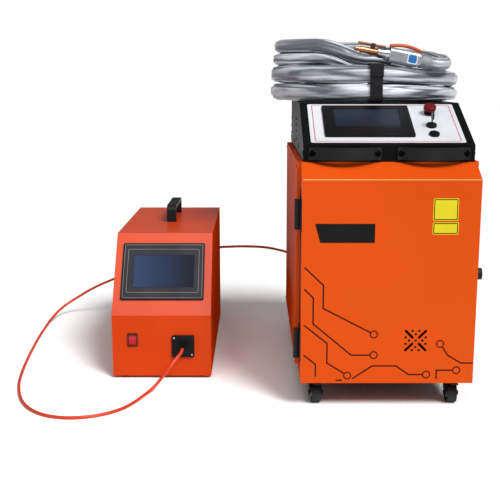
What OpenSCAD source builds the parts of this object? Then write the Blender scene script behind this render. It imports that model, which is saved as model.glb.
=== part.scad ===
// Laser welding machine: cabinet on casters with a sloping console, a coiled umbilical and
// handheld gun on top, and a separate wire feeder standing at its left.
// Front faces -Y, +X is to the right, +Z is up, the floor is at z = 0.

/* [Cabinet] */
// Width of the door and of the frame behind it
cab_w = 460; // [420:1:520]
// Depth of the cabinet, door face to rear panel
cab_depth = 800; // [760:1:900]
// Height of the cabinet's underside above the floor
base_z = 72; // [70:1:80]
// Height of the bend where the door slopes back
bend_z = 617; // [600:1:640]
// Height of the cabinet's top sheet, on which the console sits
cab_top_z = 656; // [645:1:680]
// Setback of the console's front lip behind the door face
console_setback = 70; // [60:1:80]
// Thickness of the folded sheet steel
sheet_t = 1.5; // [1:0.1:2.5]
// Thickness of the side covers, folded edge included
cover_t = 10; // [8:0.5:14]
// Distance from the door face to the front edge of the side covers
cover_front_y = 85; // [82:1:100]
// Height of the side covers' lower edge above the floor
cover_bottom_z = 98; // [90:1:110]

/* [Door] */
// Depth of the door's folded edge
door_depth = 40; // [30:1:45]
// Gap between the door's edge and the frame
door_gap = 2; // [1:0.1:4]
// Vent hole radius
vent_hole_r = 3.3; // [2:0.1:3.5]
// Half the width of the vent's slots
vent_slot_r = 3.5; // [2:0.1:4]
// Vent hole spacing
vent_pitch = 8.8; // [8:0.1:10]
// Height of the vent field's centre
vent_z = 190; // [150:1:250]
// Vent field centre, right of the cabinet's centre line
vent_x = 74; // [0:1:120]

/* [Hinges and latch] */
// Outer radius of the hinge knuckles
knuckle_r = 9; // [7:0.5:10]
// Radius of the hinge pin
hinge_pin_r = 3.5; // [3:0.1:5]
// Height of one hinge
hinge_h = 80; // [60:1:100]
// Height of the lower hinge's foot
hinge_low_z = 132; // [120:1:200]
// Height of the upper hinge's foot
hinge_high_z = 482; // [440:1:500]
// Running clearance of pins and axles, radial
run_gap = 0.05; // [0.02:0.01:0.1]
// Radius of the round latch knob on the door's right edge
latch_r = 15.5; // [15:0.5:22]
// How far the latch knob stands out
latch_out = 13; // [12:0.5:22]
// Height of the latch
latch_z = 367; // [300:1:420]
// Radius of the latch spindle
latch_spindle_r = 5; // [4:0.1:7]

/* [Console] */
// Width of the console
console_w = 450; // [430:1:460]
// Height of the console's upright front lip
lip_h = 44; // [42:1:60]
// Depth of the sloping panel, measured level
slope_run = 215; // [200:1:240]
// Rise of the sloping panel
slope_rise = 103; // [90:1:120]
// Wall of the console
console_wall = 2; // [1.5:0.1:3]
// Black border left and right of the label plate
label_border = 21; // [10:1:30]
// Border above and below the label plate
label_edge = 11; // [8:0.5:20]
// Thickness of the label plate
label_t = 0.8; // [0.5:0.1:1.5]

/* [Screen and controls] */
// Width of the touch screen's bezel
hmi_w = 240; // [200:1:244]
// Height of the touch screen's bezel
hmi_h = 172; // [150:1:180]
// How far the bezel stands above the panel
hmi_proud = 6; // [4:0.5:9]
// Depth of the screen's housing behind the panel
hmi_deep = 34; // [25:1:45]
// Screen centre, left of the centre line
hmi_left = 45; // [38:1:60]
// Screen centre, up the slope
hmi_up = 125; // [110:1:140]
// Width of the glass
glass_w = 178; // [150:1:190]
// Height of the glass
glass_h = 99; // [85:1:110]
// Radius of the emergency stop's mushroom
estop_r = 17; // [15:0.5:20]
// Emergency stop, right of the centre line
estop_x = 131; // [125:1:160]
// Emergency stop, up the slope
estop_up = 171; // [165:1:195]
// Key switch, right of the centre line
key_x = 126; // [115:1:160]
// Key switch, up the slope
key_up = 101; // [80:1:120]
// Start button, right of the centre line
start_x = 126; // [115:1:160]
// Start button, up the slope
start_up = 53; // [30:1:60]
// Radius of the control barrels that pass through the panel
barrel_r = 11; // [8:0.5:12]
// Radius of the control bezels
control_r = 14; // [12:0.5:16]

/* [Console handles] */
// Length of a handle
handle_l = 190; // [160:1:200]
// Height of a handle's band
handle_band = 32; // [25:1:38]
// How far a handle bows forward
handle_bow = 36; // [30:1:45]
// Thickness of a handle's band
handle_t = 9; // [7:0.5:12]
// Distance of each handle's centre from the centre line
handle_x = 116; // [105:1:120]

/* [Casters] */
// Wheel diameter
wheel_d = 52; // [44:1:53]
// Wheel width
wheel_w = 26; // [20:1:30]
// Distance from the swivel axis to the axle, level
trail = 22; // [18:1:26]
// Swivel axis, in from the cabinet's side
caster_in = 45; // [40:1:60]
// Front swivel axis, behind the door face
caster_front_y = 76; // [72:1:110]
// Rear swivel axis, ahead of the rear panel
caster_rear_in = 60; // [55:1:90]
// Axle radius
axle_r = 4; // [3:0.1:6]

/* [Umbilical coil] */
// Width of the sleeved umbilical
strand_w = 56; // [50:1:60]
// Half width of the coil, to the outer turn's centre line
coil_a = 258; // [250:1:262]
// Half depth of the coil, to the outer turn's centre line
coil_b = 192; // [188:1:196]
// Coil centre, left of the cabinet's centre line
coil_left = 16; // [12:1:22]
// Coil centre, ahead of the console's rear
coil_rear_in = 280; // [275:1:285]
// Height of one strand
strand_h = 50; // [46:1:50]
// Width of the strap round the coil
strap_w = 36; // [25:1:45]

/* [Gun] */
// Length of the gun's body
gun_body_l = 96; // [85:1:120]
// Height of the gun's body
gun_body_h = 42; // [40:1:55]
// Width of the gun's body
gun_body_w = 40; // [36:1:50]
// Length of the steel collar
gun_collar_l = 34; // [25:1:40]
// Length of the copper nozzle tube
gun_nozzle_l = 66; // [50:1:80]
// Radius of the nozzle tube
gun_nozzle_r = 9; // [7:0.5:12]
// Radius of the wire tube beside the nozzle
wire_tube_r = 3.5; // [3:0.1:5]
// Radius of the woven sleeve at the gun's tail
gun_sleeve_r = 19; // [16:0.5:22]

/* [Wire feeder] */
// Width of the feeder
feeder_w = 290; // [270:1:310]
// Depth of the feeder
feeder_depth = 700; // [660:1:740]
// Gap between feeder and cabinet cover
feeder_gap = 240; // [200:1:300]
// Setback of the feeder's front behind the door face
feeder_y = 241; // [200:1:260]
// Height of the feeder's underside
feeder_base_z = 8; // [6:0.5:12]
// Height of the fold between the upright and the sloping front
feeder_fold_z = 191; // [180:1:210]
// Height of the feeder's top
feeder_top_z = 408; // [390:1:430]
// Depth of the feeder's sloping front, measured level
feeder_slope_run = 160; // [140:1:180]
// Spool radius
spool_r = 135; // [100:1:140]
// Spool width
spool_w = 100; // [80:1:105]
// Radius of the wire conduit
conduit_r = 4.5; // [3.5:0.1:4.8]

/* [Hidden] */
$fn = 48;
// Overrun of every cut, clearance of seated pieces, clearance of moving pieces
over = 1;
gap = 0.3;
play = 0.5;
half_w = cab_w / 2;
slope_a = atan2(slope_rise, slope_run);
slope_l = norm([slope_run, slope_rise]);
lip_z = cab_top_z + lip_h;
flat_y = console_setback + slope_run;
flat_z = lip_z + slope_rise;
cover_x = half_w + cover_t;
frame_y = door_depth + door_gap;
back_in = cab_depth - sheet_t;
feeder_right = -cover_x - feeder_gap;
feeder_left = feeder_right - feeder_w;
feeder_mid = feeder_right - feeder_w / 2;
feeder_back = feeder_y + feeder_depth;
feeder_rise = feeder_top_z - feeder_fold_z;
feeder_slope_a = atan2(feeder_rise, feeder_slope_run);
feeder_slope_l = norm([feeder_slope_run, feeder_rise]);
// Hook behind the feeder that holds the wire conduit
hook_out = 30;
feeder_knuckle_r = 5;
low_x = feeder_left - 2 * feeder_knuckle_r;
high_x = half_w + latch_out;
centre_x = (low_x + high_x) / 2;
centre_y = (feeder_back + hook_out) / 2;

// Shared shapes
module place() {
    translate([-centre_x, -centre_y, 0]) children();
}

module span(low, high) {
    translate(low) cube(high - low);
}

// A profile drawn as [y, z] and run along X from x0 to x1
module side_profile(x0, x1) {
    translate([x0, 0, 0]) rotate([90, 0, 90]) linear_extrude(x1 - x0) children();
}

// A rod along X, Y or Z from a starting point
module rod_x(at, r, l) {
    translate(at) rotate([0, 90, 0]) cylinder(r = r, h = l);
}

module rod_y(at, r, l) {
    translate(at) rotate([-90, 0, 0]) cylinder(r = r, h = l);
}

module rod_z(at, r, l) {
    translate(at) cylinder(r = r, h = l);
}

// A round cornered plate in its own plane, corner radius r
module round_plate(w, h, r, t) {
    linear_extrude(t) {
        square([w - 2 * r, h], center = true);
        square([w, h - 2 * r], center = true);
        for (x = [-1, 1], y = [-1, 1]) {
            translate([x * (w / 2 - r), y * (h / 2 - r)]) circle(r);
        }
    }
}

// Places its children on the sloping panel: right of centre, up the slope, out of it
module on_slope(right, up) {
    translate([0, console_setback, lip_z]) rotate([slope_a, 0, 0]) translate([right, up, 0]) children();
}

module on_feeder_slope(up) {
    translate([feeder_mid, feeder_y, feeder_fold_z])
        rotate([feeder_slope_a, 0, 0])
            translate([0, up, 0]) children();
}

// Frame, covers and rear panel
post_w = 25;
post_wall = 2;
post_deep = 60;
rail_h = 28;
shelf_z = 372;
shelf_lip = 20;
cable_hole = 60;
striker_t = 3;
striker_h = 40;

module front_post(side) {
    inner_x = half_w - post_w;
    top = cab_top_z - sheet_t;
    side_profile(side < 0 ? -half_w : inner_x, side < 0 ? -inner_x : half_w)
        difference() {
            polygon([[frame_y, base_z], [frame_y, bend_z - post_wall], [console_setback + post_wall, top],
                [frame_y + post_deep, top], [frame_y + post_deep, base_z]]);
            translate([frame_y + post_wall, base_z + rail_h])
                square([post_deep - 2 * post_wall, bend_z - base_z - 2 * rail_h]);
        }
}

module rear_post(side) {
    inner_x = half_w - post_w;
    low = [side < 0 ? -half_w : inner_x, back_in - post_w, base_z];
    high = [side < 0 ? -inner_x : half_w, back_in, cab_top_z - sheet_t];
    difference() {
        span(low, high);
        span(low + [post_wall, post_wall, rail_h], high - [post_wall, post_wall, rail_h]);
    }
}

module base_frame() color("#B9481F") place() {
    difference() {
        span([-half_w, frame_y, base_z], [half_w, back_in, base_z + rail_h]);
        span([-half_w + post_wall, frame_y + post_wall, base_z + post_wall],
            [half_w - post_wall, back_in - post_wall, base_z + rail_h + over]);
    }
    for (side = [-1, 1]) {
        front_post(side);
        rear_post(side);
    }
    span([-half_w, frame_y, bend_z - post_wall - post_w], [half_w, frame_y + post_w, bend_z - post_wall]);
    difference() {
        span([-half_w, console_setback + post_wall, cab_top_z - sheet_t], [half_w, back_in, cab_top_z]);
        span([-cable_hole, cab_depth / 2, cab_top_z - sheet_t - over],
            [cable_hole, cab_depth / 2 + cable_hole, cab_top_z + over]);
    }
    difference() {
        span([-half_w, frame_y + post_deep - over, shelf_z],
            [half_w, back_in - over, shelf_z + shelf_lip]);
        span([-half_w + post_wall, frame_y + post_deep - over + post_wall, shelf_z + post_wall],
            [half_w - post_wall, back_in - over - post_wall, shelf_z + shelf_lip + over]);
    }
    span([half_w - post_w - striker_t, frame_y, latch_z - striker_h / 2],
        [half_w - post_w + over, frame_y + post_w, latch_z + striker_h / 2]);
}

// Side cover: a shallow folded pan with a column of vent slots near its foot
slot_h = 4;
slot_l = 90;
slot_pitch = 12;
slot_count = 8;
slot_z = 150;

module side_cover() {
    difference() {
        span([half_w, cover_front_y, cover_bottom_z], [cover_x, cab_depth, cab_top_z]);
        span([half_w - over, cover_front_y + sheet_t, cover_bottom_z + sheet_t],
            [cover_x - sheet_t, back_in, cab_top_z - sheet_t]);
        for (n = [0 : slot_count - 1]) {
            span([half_w, cab_depth - 2 * slot_l, slot_z + n * slot_pitch],
                [cover_x + over, cab_depth - slot_l, slot_z + n * slot_pitch + slot_h]);
        }
    }
}

module left_cover() color("#B84A2A") place() mirror([1, 0, 0]) side_cover();

module right_cover() color("#B84A2A") place() side_cover();

// Cooling fan and the rear panel with its punched grille
fan_x = 60;
fan_z = 222;
fan_r = 82;
fan_side = 172;
fan_deep = 40;
fan_hub_r = 32;
blade_count = 7;
blade_t = 2.5;
blade_pitch = 38;
bar_w = 3;
ring_step = 20;
gland_r = 12;
gland_x = -170;
gland_z = 236;
mains_x = -130;
mains_z = 140;
gas_x = -75;
gas_r = 6;

module rear_panel() color("#B84A2A") place() {
    translate([0, cab_depth, 0]) rotate([90, 0, 0]) linear_extrude(sheet_t) {
        difference() {
            translate([-half_w, base_z]) square([cab_w, cab_top_z - base_z]);
            translate([fan_x, fan_z]) circle(fan_r);
            translate([gland_x, gland_z]) circle(gland_r + gap);
            translate([mains_x, mains_z]) circle(gland_r + gap);
            translate([gas_x, mains_z]) circle(gas_r + gap);
        }
        translate([fan_x, fan_z]) {
            for (r = [ring_step : ring_step : fan_r - bar_w]) {
                difference() {
                    circle(r);
                    circle(r - bar_w);
                }
            }
            for (a = [0, 45, 90, 135]) {
                rotate(a) square([2 * fan_r + bar_w, bar_w], center = true);
            }
        }
    }
}

module fan_frame() color("#1E1F22") place() {
    difference() {
        span([fan_x - fan_side / 2, back_in - fan_deep, fan_z - fan_side / 2],
            [fan_x + fan_side / 2, back_in, fan_z + fan_side / 2]);
        rod_y([fan_x, back_in - fan_deep - over, fan_z], fan_r, fan_deep + 2 * over);
    }
    for (a = [45 : 90 : 315]) {
        translate([fan_x, back_in - fan_deep, fan_z]) rotate([0, a, 0])
            span([0, 0, -bar_w], [fan_r + over, bar_w, bar_w]);
    }
    rod_y([fan_x, back_in - fan_deep, fan_z], axle_r, fan_deep - bar_w);
}

module fan_rotor() color("#26272B") place() {
    front = back_in - fan_deep + bar_w + play;
    blade_h = fan_deep - 4 * bar_w;
    difference() {
        union() {
            rod_y([fan_x, front, fan_z], fan_hub_r, blade_h);
            for (n = [0 : blade_count - 1]) {
                translate([fan_x, front + blade_h / 2, fan_z]) rotate([0, n * 360 / blade_count, 0])
                    translate([fan_hub_r - over, 0, 0]) rotate([blade_pitch, 0, 0])
                        translate([0, -blade_t / 2, -blade_h / 2])
                            cube([fan_r - fan_hub_r - bar_w, blade_t, blade_h]);
            }
        }
        rod_y([fan_x, front - over, fan_z], axle_r + run_gap, blade_h + 2 * over);
    }
}

// Cable gland on the rear panel: hexagon body, domed nut, thread through the panel
gland_hex_r = 16;
gland_hex_l = 8;
gland_nut_r = 13;
gland_nut_l = 16;
gland_tail = 10;

module gland(x, z, bore) {
    difference() {
        union() {
            translate([x, cab_depth, z]) rotate([-90, 0, 0])
                cylinder(r = gland_hex_r, h = gland_hex_l, $fn = 6);
            rod_y([x, cab_depth, z], gland_nut_r, gland_hex_l + gland_nut_l);
            rod_y([x, cab_depth - sheet_t - gland_tail, z], gland_r, gland_tail + 2 * sheet_t);
        }
        rod_y([x, cab_depth - sheet_t - gland_tail - over, z], bore,
            gland_tail + gland_hex_l + gland_nut_l + 2 * sheet_t + 2 * over);
    }
}

mains_bore = 7;

module rear_glands() color("#17181A") place() {
    gland(gland_x, gland_z, conduit_r);
    gland(mains_x, mains_z, mains_bore);
}

// Gas inlet: a push in stud fitting for 8 mm hose
gas_bore = 4;
gas_collar_r = 9;
gas_out = 26;

module gas_inlet() color("#C9A24A") place() {
    difference() {
        union() {
            rod_y([gas_x, cab_depth - sheet_t - gland_tail, mains_z], gas_r, gland_tail + 2 * sheet_t);
            translate([gas_x, cab_depth, mains_z]) rotate([-90, 0, 0])
                cylinder(r = gas_collar_r, h = gland_hex_l, $fn = 6);
            rod_y([gas_x, cab_depth, mains_z], gas_collar_r - over, gas_out);
        }
        rod_y([gas_x, cab_depth - sheet_t - gland_tail - over, mains_z], gas_bore,
            gland_tail + gas_out + 2 * sheet_t + 2 * over);
    }
}

// Door: a folded pan whose top slopes back under the console's lip
flange_return = 3;

function slope_back(y) = bend_z + (cab_top_z - bend_z) * y / console_setback;

module door_panel() color("#DE5218") place() {
    edge = console_setback - play;
    top = slope_back(edge);
    side_faces = [[0, base_z], [0, bend_z], [edge, top], [edge, top - flange_return],
        [door_depth, slope_back(door_depth) - flange_return], [door_depth, base_z]];
    difference() {
        union() {
            side_profile(-half_w, half_w)
                polygon([[0, base_z], [0, bend_z], [edge, top], [edge, top - sheet_t],
                    [sheet_t, bend_z - sheet_t / 2], [sheet_t, base_z]]);
            side_profile(-half_w, -half_w + sheet_t) polygon(side_faces);
            side_profile(half_w - sheet_t, half_w) polygon(side_faces);
            span([-half_w, 0, base_z], [half_w, door_depth, base_z + sheet_t]);
        }
        rod_x([half_w - 2 * sheet_t, latch_y, latch_z], latch_spindle_r + run_gap, 3 * sheet_t);
        vent_holes();
    }
}

// The vent: a hole in the middle, four slots on the diagonals, and holes between the slots
vent_places = [[0, 2], [1, 3], [-1, 3]];
slot_first = 1;
slot_last = 3;

module vent_holes() {
    deep = sheet_t + 2 * over;
    from = slot_first * sqrt(2) * vent_pitch;
    to = slot_last * sqrt(2) * vent_pitch;
    translate([vent_x, -over, vent_z]) {
        rod_y([0, 0, 0], vent_hole_r, deep);
        for (turn = [0 : 90 : 270]) {
            rotate([0, turn, 0]) for (at = vent_places) {
                rod_y([at[0] * vent_pitch, 0, at[1] * vent_pitch], vent_hole_r, deep);
            }
            rotate([0, turn + 45, 0]) {
                span([from, 0, -vent_slot_r], [to, deep, vent_slot_r]);
                rod_y([from, 0, 0], vent_slot_r, deep);
                rod_y([to, 0, 0], vent_slot_r, deep);
            }
        }
    }
}

// Hinges: the frame leaves carry two knuckles and the pin, the door leaves the middle knuckle
leaf_t = 3;
axis_x = -half_w - knuckle_r;
axis_y = door_depth + door_gap / 2;
knuckle_h = hinge_h / 3;

module knuckle(z, h) {
    rod_z([axis_x, axis_y, z], knuckle_r, h);
}

module frame_leaf(z) {
    leaf_x = -half_w - leaf_t;
    span([leaf_x, axis_y + knuckle_r + play, z], [-half_w, cover_front_y - play, z + hinge_h]);
    for (n = [0, 2]) {
        span([leaf_x, axis_y, z + n * knuckle_h], [-half_w, axis_y + knuckle_r + 2 * play,
            z + (n + 1) * knuckle_h - gap]);
        knuckle(z + n * knuckle_h, knuckle_h - gap);
    }
    rod_z([axis_x, axis_y, z], hinge_pin_r, hinge_h - gap);
}

module door_leaf(z) {
    leaf_x = -half_w - leaf_t;
    difference() {
        union() {
            span([leaf_x, leaf_t, z], [-half_w, axis_y - knuckle_r - play, z + hinge_h]);
            span([leaf_x, axis_y - knuckle_r - 2 * play, z + knuckle_h],
                [-half_w, axis_y, z + 2 * knuckle_h - gap]);
            knuckle(z + knuckle_h, knuckle_h - gap);
        }
        rod_z([axis_x, axis_y, z - over], hinge_pin_r + run_gap, hinge_h + 2 * over);
    }
}

module hinge_leaves() color("#17181A") place() {
    frame_leaf(hinge_low_z);
    frame_leaf(hinge_high_z);
}

module door_hinges() color("#17181A") place() {
    door_leaf(hinge_low_z);
    door_leaf(hinge_high_z);
}

// Quarter turn latch on the door's right edge, its tongue beside the striker on the post
latch_y = 20;
tongue_w = 14;
tongue_l = 42;

module latch_knob() color("#17181A") place() {
    tongue_x = half_w - post_w - striker_t - 3 * play - leaf_t;
    rod_x([half_w + gap, latch_y, latch_z], latch_r, latch_out - gap);
    rod_x([tongue_x, latch_y, latch_z], latch_spindle_r, half_w + over - tongue_x);
    span([tongue_x, latch_y, latch_z - tongue_w / 2],
        [tongue_x + leaf_t, latch_y + tongue_l, latch_z + tongue_w / 2]);
    rod_x([tongue_x, latch_y, latch_z], tongue_w / 2, leaf_t);
}

// Console: a folded housing with a sloping control panel
console_half = console_w / 2;
wall_up = console_wall / cos(slope_a);
lip_turn = console_wall * tan(slope_a / 2);

module console_shell() color("#1A1B1E") place() {
    difference() {
        side_profile(-console_half, console_half)
            polygon([[console_setback, cab_top_z], [console_setback, lip_z], [flat_y, flat_z],
                [cab_depth, flat_z], [cab_depth, cab_top_z]]);
        side_profile(-console_half + console_wall, console_half - console_wall)
            polygon([[console_setback + console_wall, cab_top_z - over],
                [console_setback + console_wall, lip_z - wall_up + console_wall * tan(slope_a)],
                [flat_y + lip_turn, flat_z - console_wall],
                [cab_depth - console_wall, flat_z - console_wall],
                    [cab_depth - console_wall, cab_top_z - over]]);
        on_slope(-hmi_left, hmi_up)
            translate([0, 0, -2 * console_wall]) round_plate(hmi_body_w + 2 * gap,
                hmi_body_h + 2 * gap, console_wall, 4 * console_wall);
        for (at = control_places) {
            on_slope(at[0], at[1]) rod_z([0, 0, -2 * console_wall], barrel_r + gap, 4 * console_wall);
        }
        rod_z([gland_box_x, outlet_y, flat_z - 2 * console_wall], gland_r, 4 * console_wall);
    }
}

bezel_over = 10;
hmi_body_w = hmi_w - 2 * bezel_over;
hmi_body_h = hmi_h - 2 * bezel_over;
control_places = [[estop_x, estop_up], [key_x, key_up], [start_x, start_up]];

module console_label() color("#F0F0F2") place() {
    w = console_w - 2 * label_border;
    h = slope_l - 2 * label_edge;
    on_slope(0, slope_l / 2) difference() {
        round_plate(w, h, label_edge / 2, label_t);
        translate([-hmi_left, hmi_up - slope_l / 2, -over])
            round_plate(hmi_w + 2 * gap, hmi_h + 2 * gap, label_edge / 2, label_t + 2 * over);
        for (at = control_places) {
            rod_z([at[0], at[1] - slope_l / 2, -over], control_r + gap, label_t + 2 * over);
        }
    }
}

// Touch screen: bezel with a recessed glass, and its housing behind the panel
glass_up = 13;
glass_t = 2;

module hmi_unit() color("#202226") place() on_slope(-hmi_left, hmi_up) {
    difference() {
        union() {
            round_plate(hmi_w, hmi_h, label_edge / 2, hmi_proud);
            translate([0, 0, -hmi_deep]) round_plate(hmi_body_w, hmi_body_h, console_wall,
                hmi_deep + over);
        }
        translate([0, glass_up, hmi_proud - glass_t])
            round_plate(glass_w, glass_h, console_wall, glass_t + over);
    }
    translate([0, glass_up, hmi_proud - glass_t]) round_plate(glass_w - gap, glass_h - gap,
        console_wall, glass_t / 2);
}

// Control barrels: a collar over the panel, a threaded barrel through it
barrel_l = 38;
collar_h = 6;

module barrel(bore) {
    difference() {
        union() {
            rod_z([0, 0, 0], control_r, collar_h);
            rod_z([0, 0, -barrel_l], barrel_r, barrel_l + over);
        }
        rod_z([0, 0, -barrel_l + console_wall], bore, barrel_l + collar_h);
    }
}

estop_stem_r = 5;
estop_lift = 8;
estop_h = 12;
estop_stroke = 5;

module estop_base() color("#D8B21F") place() on_slope(estop_x, estop_up) barrel(estop_stem_r + run_gap);

module estop_button() color("#C4161C") place() on_slope(estop_x, estop_up) {
    rod_z([0, 0, -barrel_l / 2], estop_stem_r, barrel_l / 2 + collar_h + estop_lift + over);
    translate([0, 0, collar_h + estop_lift]) rotate_extrude() {
        square([estop_r - estop_h / 4, estop_h]);
        square([estop_r, estop_h - estop_h / 4]);
        translate([estop_r - estop_h / 4, estop_h - estop_h / 4]) circle(estop_h / 4);
    }
}

key_rotor_r = 7;
key_blade_w = 9;
key_blade_t = 2.2;
key_blade_l = 15;
key_head_r = 12;

module key_switch() color("#1B1C1F") place() on_slope(key_x, key_up) barrel(key_rotor_r + run_gap);

module key() color("#B9BCC0") place() on_slope(key_x, key_up) {
    rod_z([0, 0, -barrel_l / 2], key_rotor_r, barrel_l / 2 + collar_h);
    span([-key_blade_t / 2, -key_blade_w / 2, collar_h - over],
        [key_blade_t / 2, key_blade_w / 2, collar_h + key_blade_l + over]);
    rod_x([-key_blade_t, 0, collar_h + key_blade_l + key_head_r - over], key_head_r, 2 * key_blade_t);
}

start_cap_r = 9;
start_lift = 3;
start_stroke = 2.5;

module start_ring() color("#B9BCC0") place() on_slope(start_x, start_up) barrel(start_cap_r + run_gap);

module start_button() color("#C9CCCE") place() on_slope(start_x, start_up)
    rod_z([0, 0, -barrel_l / 2], start_cap_r, barrel_l / 2 + collar_h + start_lift);

// Bridge handles on the console's lip, bowed forward
pad_l = 26;
screw_r = 3;
screw_head_r = 5.5;
head_h = 4;

module handle_outline() {
    half = handle_l / 2;
    arc_r = (half * half + handle_bow * handle_bow) / (2 * handle_bow);
    intersection() {
        difference() {
            translate([0, arc_r - handle_bow]) circle(arc_r, $fn = 120);
            translate([0, arc_r - handle_bow]) circle(arc_r - handle_t, $fn = 120);
        }
        translate([-half, -handle_bow]) square([handle_l, handle_bow]);
    }
    for (side = [-1, 1]) {
        translate([side * (half - pad_l / 2) - pad_l / 2, -handle_t]) square([pad_l, handle_t]);
    }
}

module handle_at(x) {
    low = (cab_top_z + lip_z - handle_band) / 2;
    difference() {
        translate([x, console_setback, low]) linear_extrude(handle_band) handle_outline();
        for (side = [-1, 1]) {
            at = [x + side * (handle_l / 2 - pad_l / 2), console_setback - handle_bow,
                low + handle_band / 2];
            rod_y(at, screw_r, handle_bow + over);
            rod_y(at, screw_head_r, handle_bow - handle_t + head_h);
        }
    }
}

module console_handles() color("#1A1B1D") place() {
    handle_at(-handle_x);
    handle_at(handle_x);
}

// Screws: one at each handle end, and a row down each side of the console
side_screws = 4;

module panel_screws() color("#3A3C40") place() {
    z = (cab_top_z + lip_z) / 2;
    for (side = [-1, 1], end = [-1, 1]) {
        rod_y([side * handle_x + end * (handle_l / 2 - pad_l / 2), console_setback - handle_t, z],
            screw_head_r - gap, head_h);
    }
    for (side = [-1, 1], n = [0 : side_screws - 1]) {
        share = n / (side_screws - 1);
        y = console_setback + 2 * screw_head_r + share * (cab_depth - console_setback - 4 * screw_head_r);
        at = [side < 0 ? -console_half - head_h / 2 : console_half, y, z];
        rod_x(at, screw_head_r, head_h / 2);
    }
}

// Equipment inside the cabinet
fin_t = 2;
fin_pitch = 14;
fin_h = 12;
supply_size = [240, 110, 90];
supply_back = 88.5;
supply_y = back_in - supply_back - supply_size[1];
source_y = 150;
source_clear = 50;
source_size = [320, supply_y - source_clear - source_y, 104];
tank_size = [170, 230, 190];
tank_x = -205;
tank_y = 120;
pump_r = 36;
compressor_r = 62;
compressor_h = 170;
compressor_x = 95;
compressor_y = 250;
condenser_size = [260, 55, 230];
condenser_clear = 43.5;
condenser_y = back_in - fan_deep - condenser_clear - condenser_size[1];

module laser_source() color("#8F9398") place() {
    low = [-source_size[0] / 2, source_y, shelf_z + post_wall];
    span(low, low + source_size);
    for (x = [fin_pitch : fin_pitch : source_size[0] - fin_pitch]) {
        span(low + [x, fin_pitch, source_size[2]],
            low + [x + fin_t, source_size[1] - fin_pitch, source_size[2] + fin_h]);
    }
}

module power_supply() color("#A9ADB1") place() {
    low = [-supply_size[0] / 2, supply_y, shelf_z + post_wall];
    difference() {
        span(low, low + supply_size);
        for (x = [fin_pitch : fin_pitch : supply_size[0] - fin_pitch]) {
            span(low + [x, -over, supply_size[2] / 4],
                low + [x + fin_h / 3, fin_t, supply_size[2] * 3 / 4]);
        }
    }
}

module water_tank() color("#D7DADC") place() {
    low = [tank_x, tank_y, base_z + post_wall];
    span(low, low + tank_size);
    rod_z(low + [pump_r, pump_r, tank_size[2]], pump_r / 2, pump_r / 2);
    rod_y(low + [tank_size[0] / 2, tank_size[1], pump_r], pump_r, 2 * pump_r);
    span(low + [tank_size[0] / 2 - pump_r / 2, tank_size[1], 0],
        low + [tank_size[0] / 2 + pump_r / 2, tank_size[1] + 2 * pump_r, pump_r]);
}

module compressor() color("#1C1D20") place() {
    floor_z = base_z + post_wall;
    rod_z([compressor_x, compressor_y, floor_z], compressor_r, compressor_h);
    rod_z([compressor_x, compressor_y, floor_z + compressor_h], compressor_r * 0.7, compressor_r / 4);
    span([compressor_x - compressor_r - pump_r / 2, compressor_y - pump_r, floor_z],
        [compressor_x + compressor_r + pump_r / 2, compressor_y + pump_r, floor_z + fin_h]);
}

module condenser() color("#9AA0A4") place() {
    low = [fan_x - condenser_size[0] / 2, condenser_y, base_z + post_wall];
    difference() {
        span(low, low + condenser_size);
        for (x = [fin_pitch : fin_pitch : condenser_size[0] - fin_pitch]) {
            span(low + [x, -over, fin_h], low + [x + fin_pitch - fin_t, condenser_size[1] / 3,
                condenser_size[2] - fin_h]);
        }
    }
}

// Casters: top plate with kingpin, swivelling fork with its riveted axle, wheel, brake pedal
plate_side = 62;
plate_t = 3;
race_r = 20;
kingpin_r = 5;
kingpin_head_r = 8;
head_t = 3;
crown_t = 4;
leg_t = 3;
leg_gap = 1;
crown_low = wheel_d + head_t + play / 2;
crown_top = crown_low + crown_t;

module caster_at(x, y, turn) {
    translate([x, y, 0]) rotate([0, 0, turn]) children();
}

module caster_plates() color("#2A2B2E") place() {
    for (place_turn = caster_table) {
        caster_at(place_turn[0], place_turn[1], place_turn[2]) {
            span([-plate_side / 2, -plate_side / 2, base_z - plate_t],
                [plate_side / 2, plate_side / 2, base_z]);
            rod_z([0, 0, crown_top + gap], race_r, base_z - plate_t - crown_top - gap + over);
            rod_z([0, 0, crown_low - gap], kingpin_r, base_z - crown_low);
            rod_z([0, 0, crown_low - gap - head_t + gap / 2], kingpin_head_r, head_t - gap / 2);
        }
    }
}

caster_x = half_w - caster_in;
caster_back_y = cab_depth - caster_rear_in;
caster_table = [[-caster_x, caster_front_y, 180], [caster_x, caster_front_y, 180],
    [-caster_x, caster_back_y, 0], [caster_x, caster_back_y, 0]];

module fork() {
    axle_z = wheel_d / 2;
    out = wheel_w / 2 + leg_gap;
    cheek_r = 2.2 * axle_r;
    difference() {
        union() {
            rod_z([0, 0, crown_low], race_r, crown_t);
            span([-out - leg_t, -race_r * 0.7, crown_low], [out + leg_t, race_r * 0.7, crown_top]);
            children();
        }
        rod_z([0, 0, crown_low - over], kingpin_r + run_gap, crown_t + 2 * over);
    }
    for (side = [-1, 1]) {
        x0 = side < 0 ? -out - leg_t : out;
        side_profile(x0, x0 + leg_t) {
            polygon([[-race_r * 0.7, crown_top], [race_r * 0.7, crown_top],
                [trail + cheek_r * 0.9, axle_z],
                [trail - cheek_r * 0.9, axle_z - cheek_r * 0.3]]);
            translate([trail, axle_z]) circle(cheek_r);
        }
    }
    rod_x([-out - leg_t - head_t, trail, axle_z], axle_r, 2 * (out + leg_t + head_t));
    for (x = [-out - leg_t - head_t, out + leg_t]) {
        rod_x([x, trail, axle_z], cheek_r * 0.75, head_t);
    }
}

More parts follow.
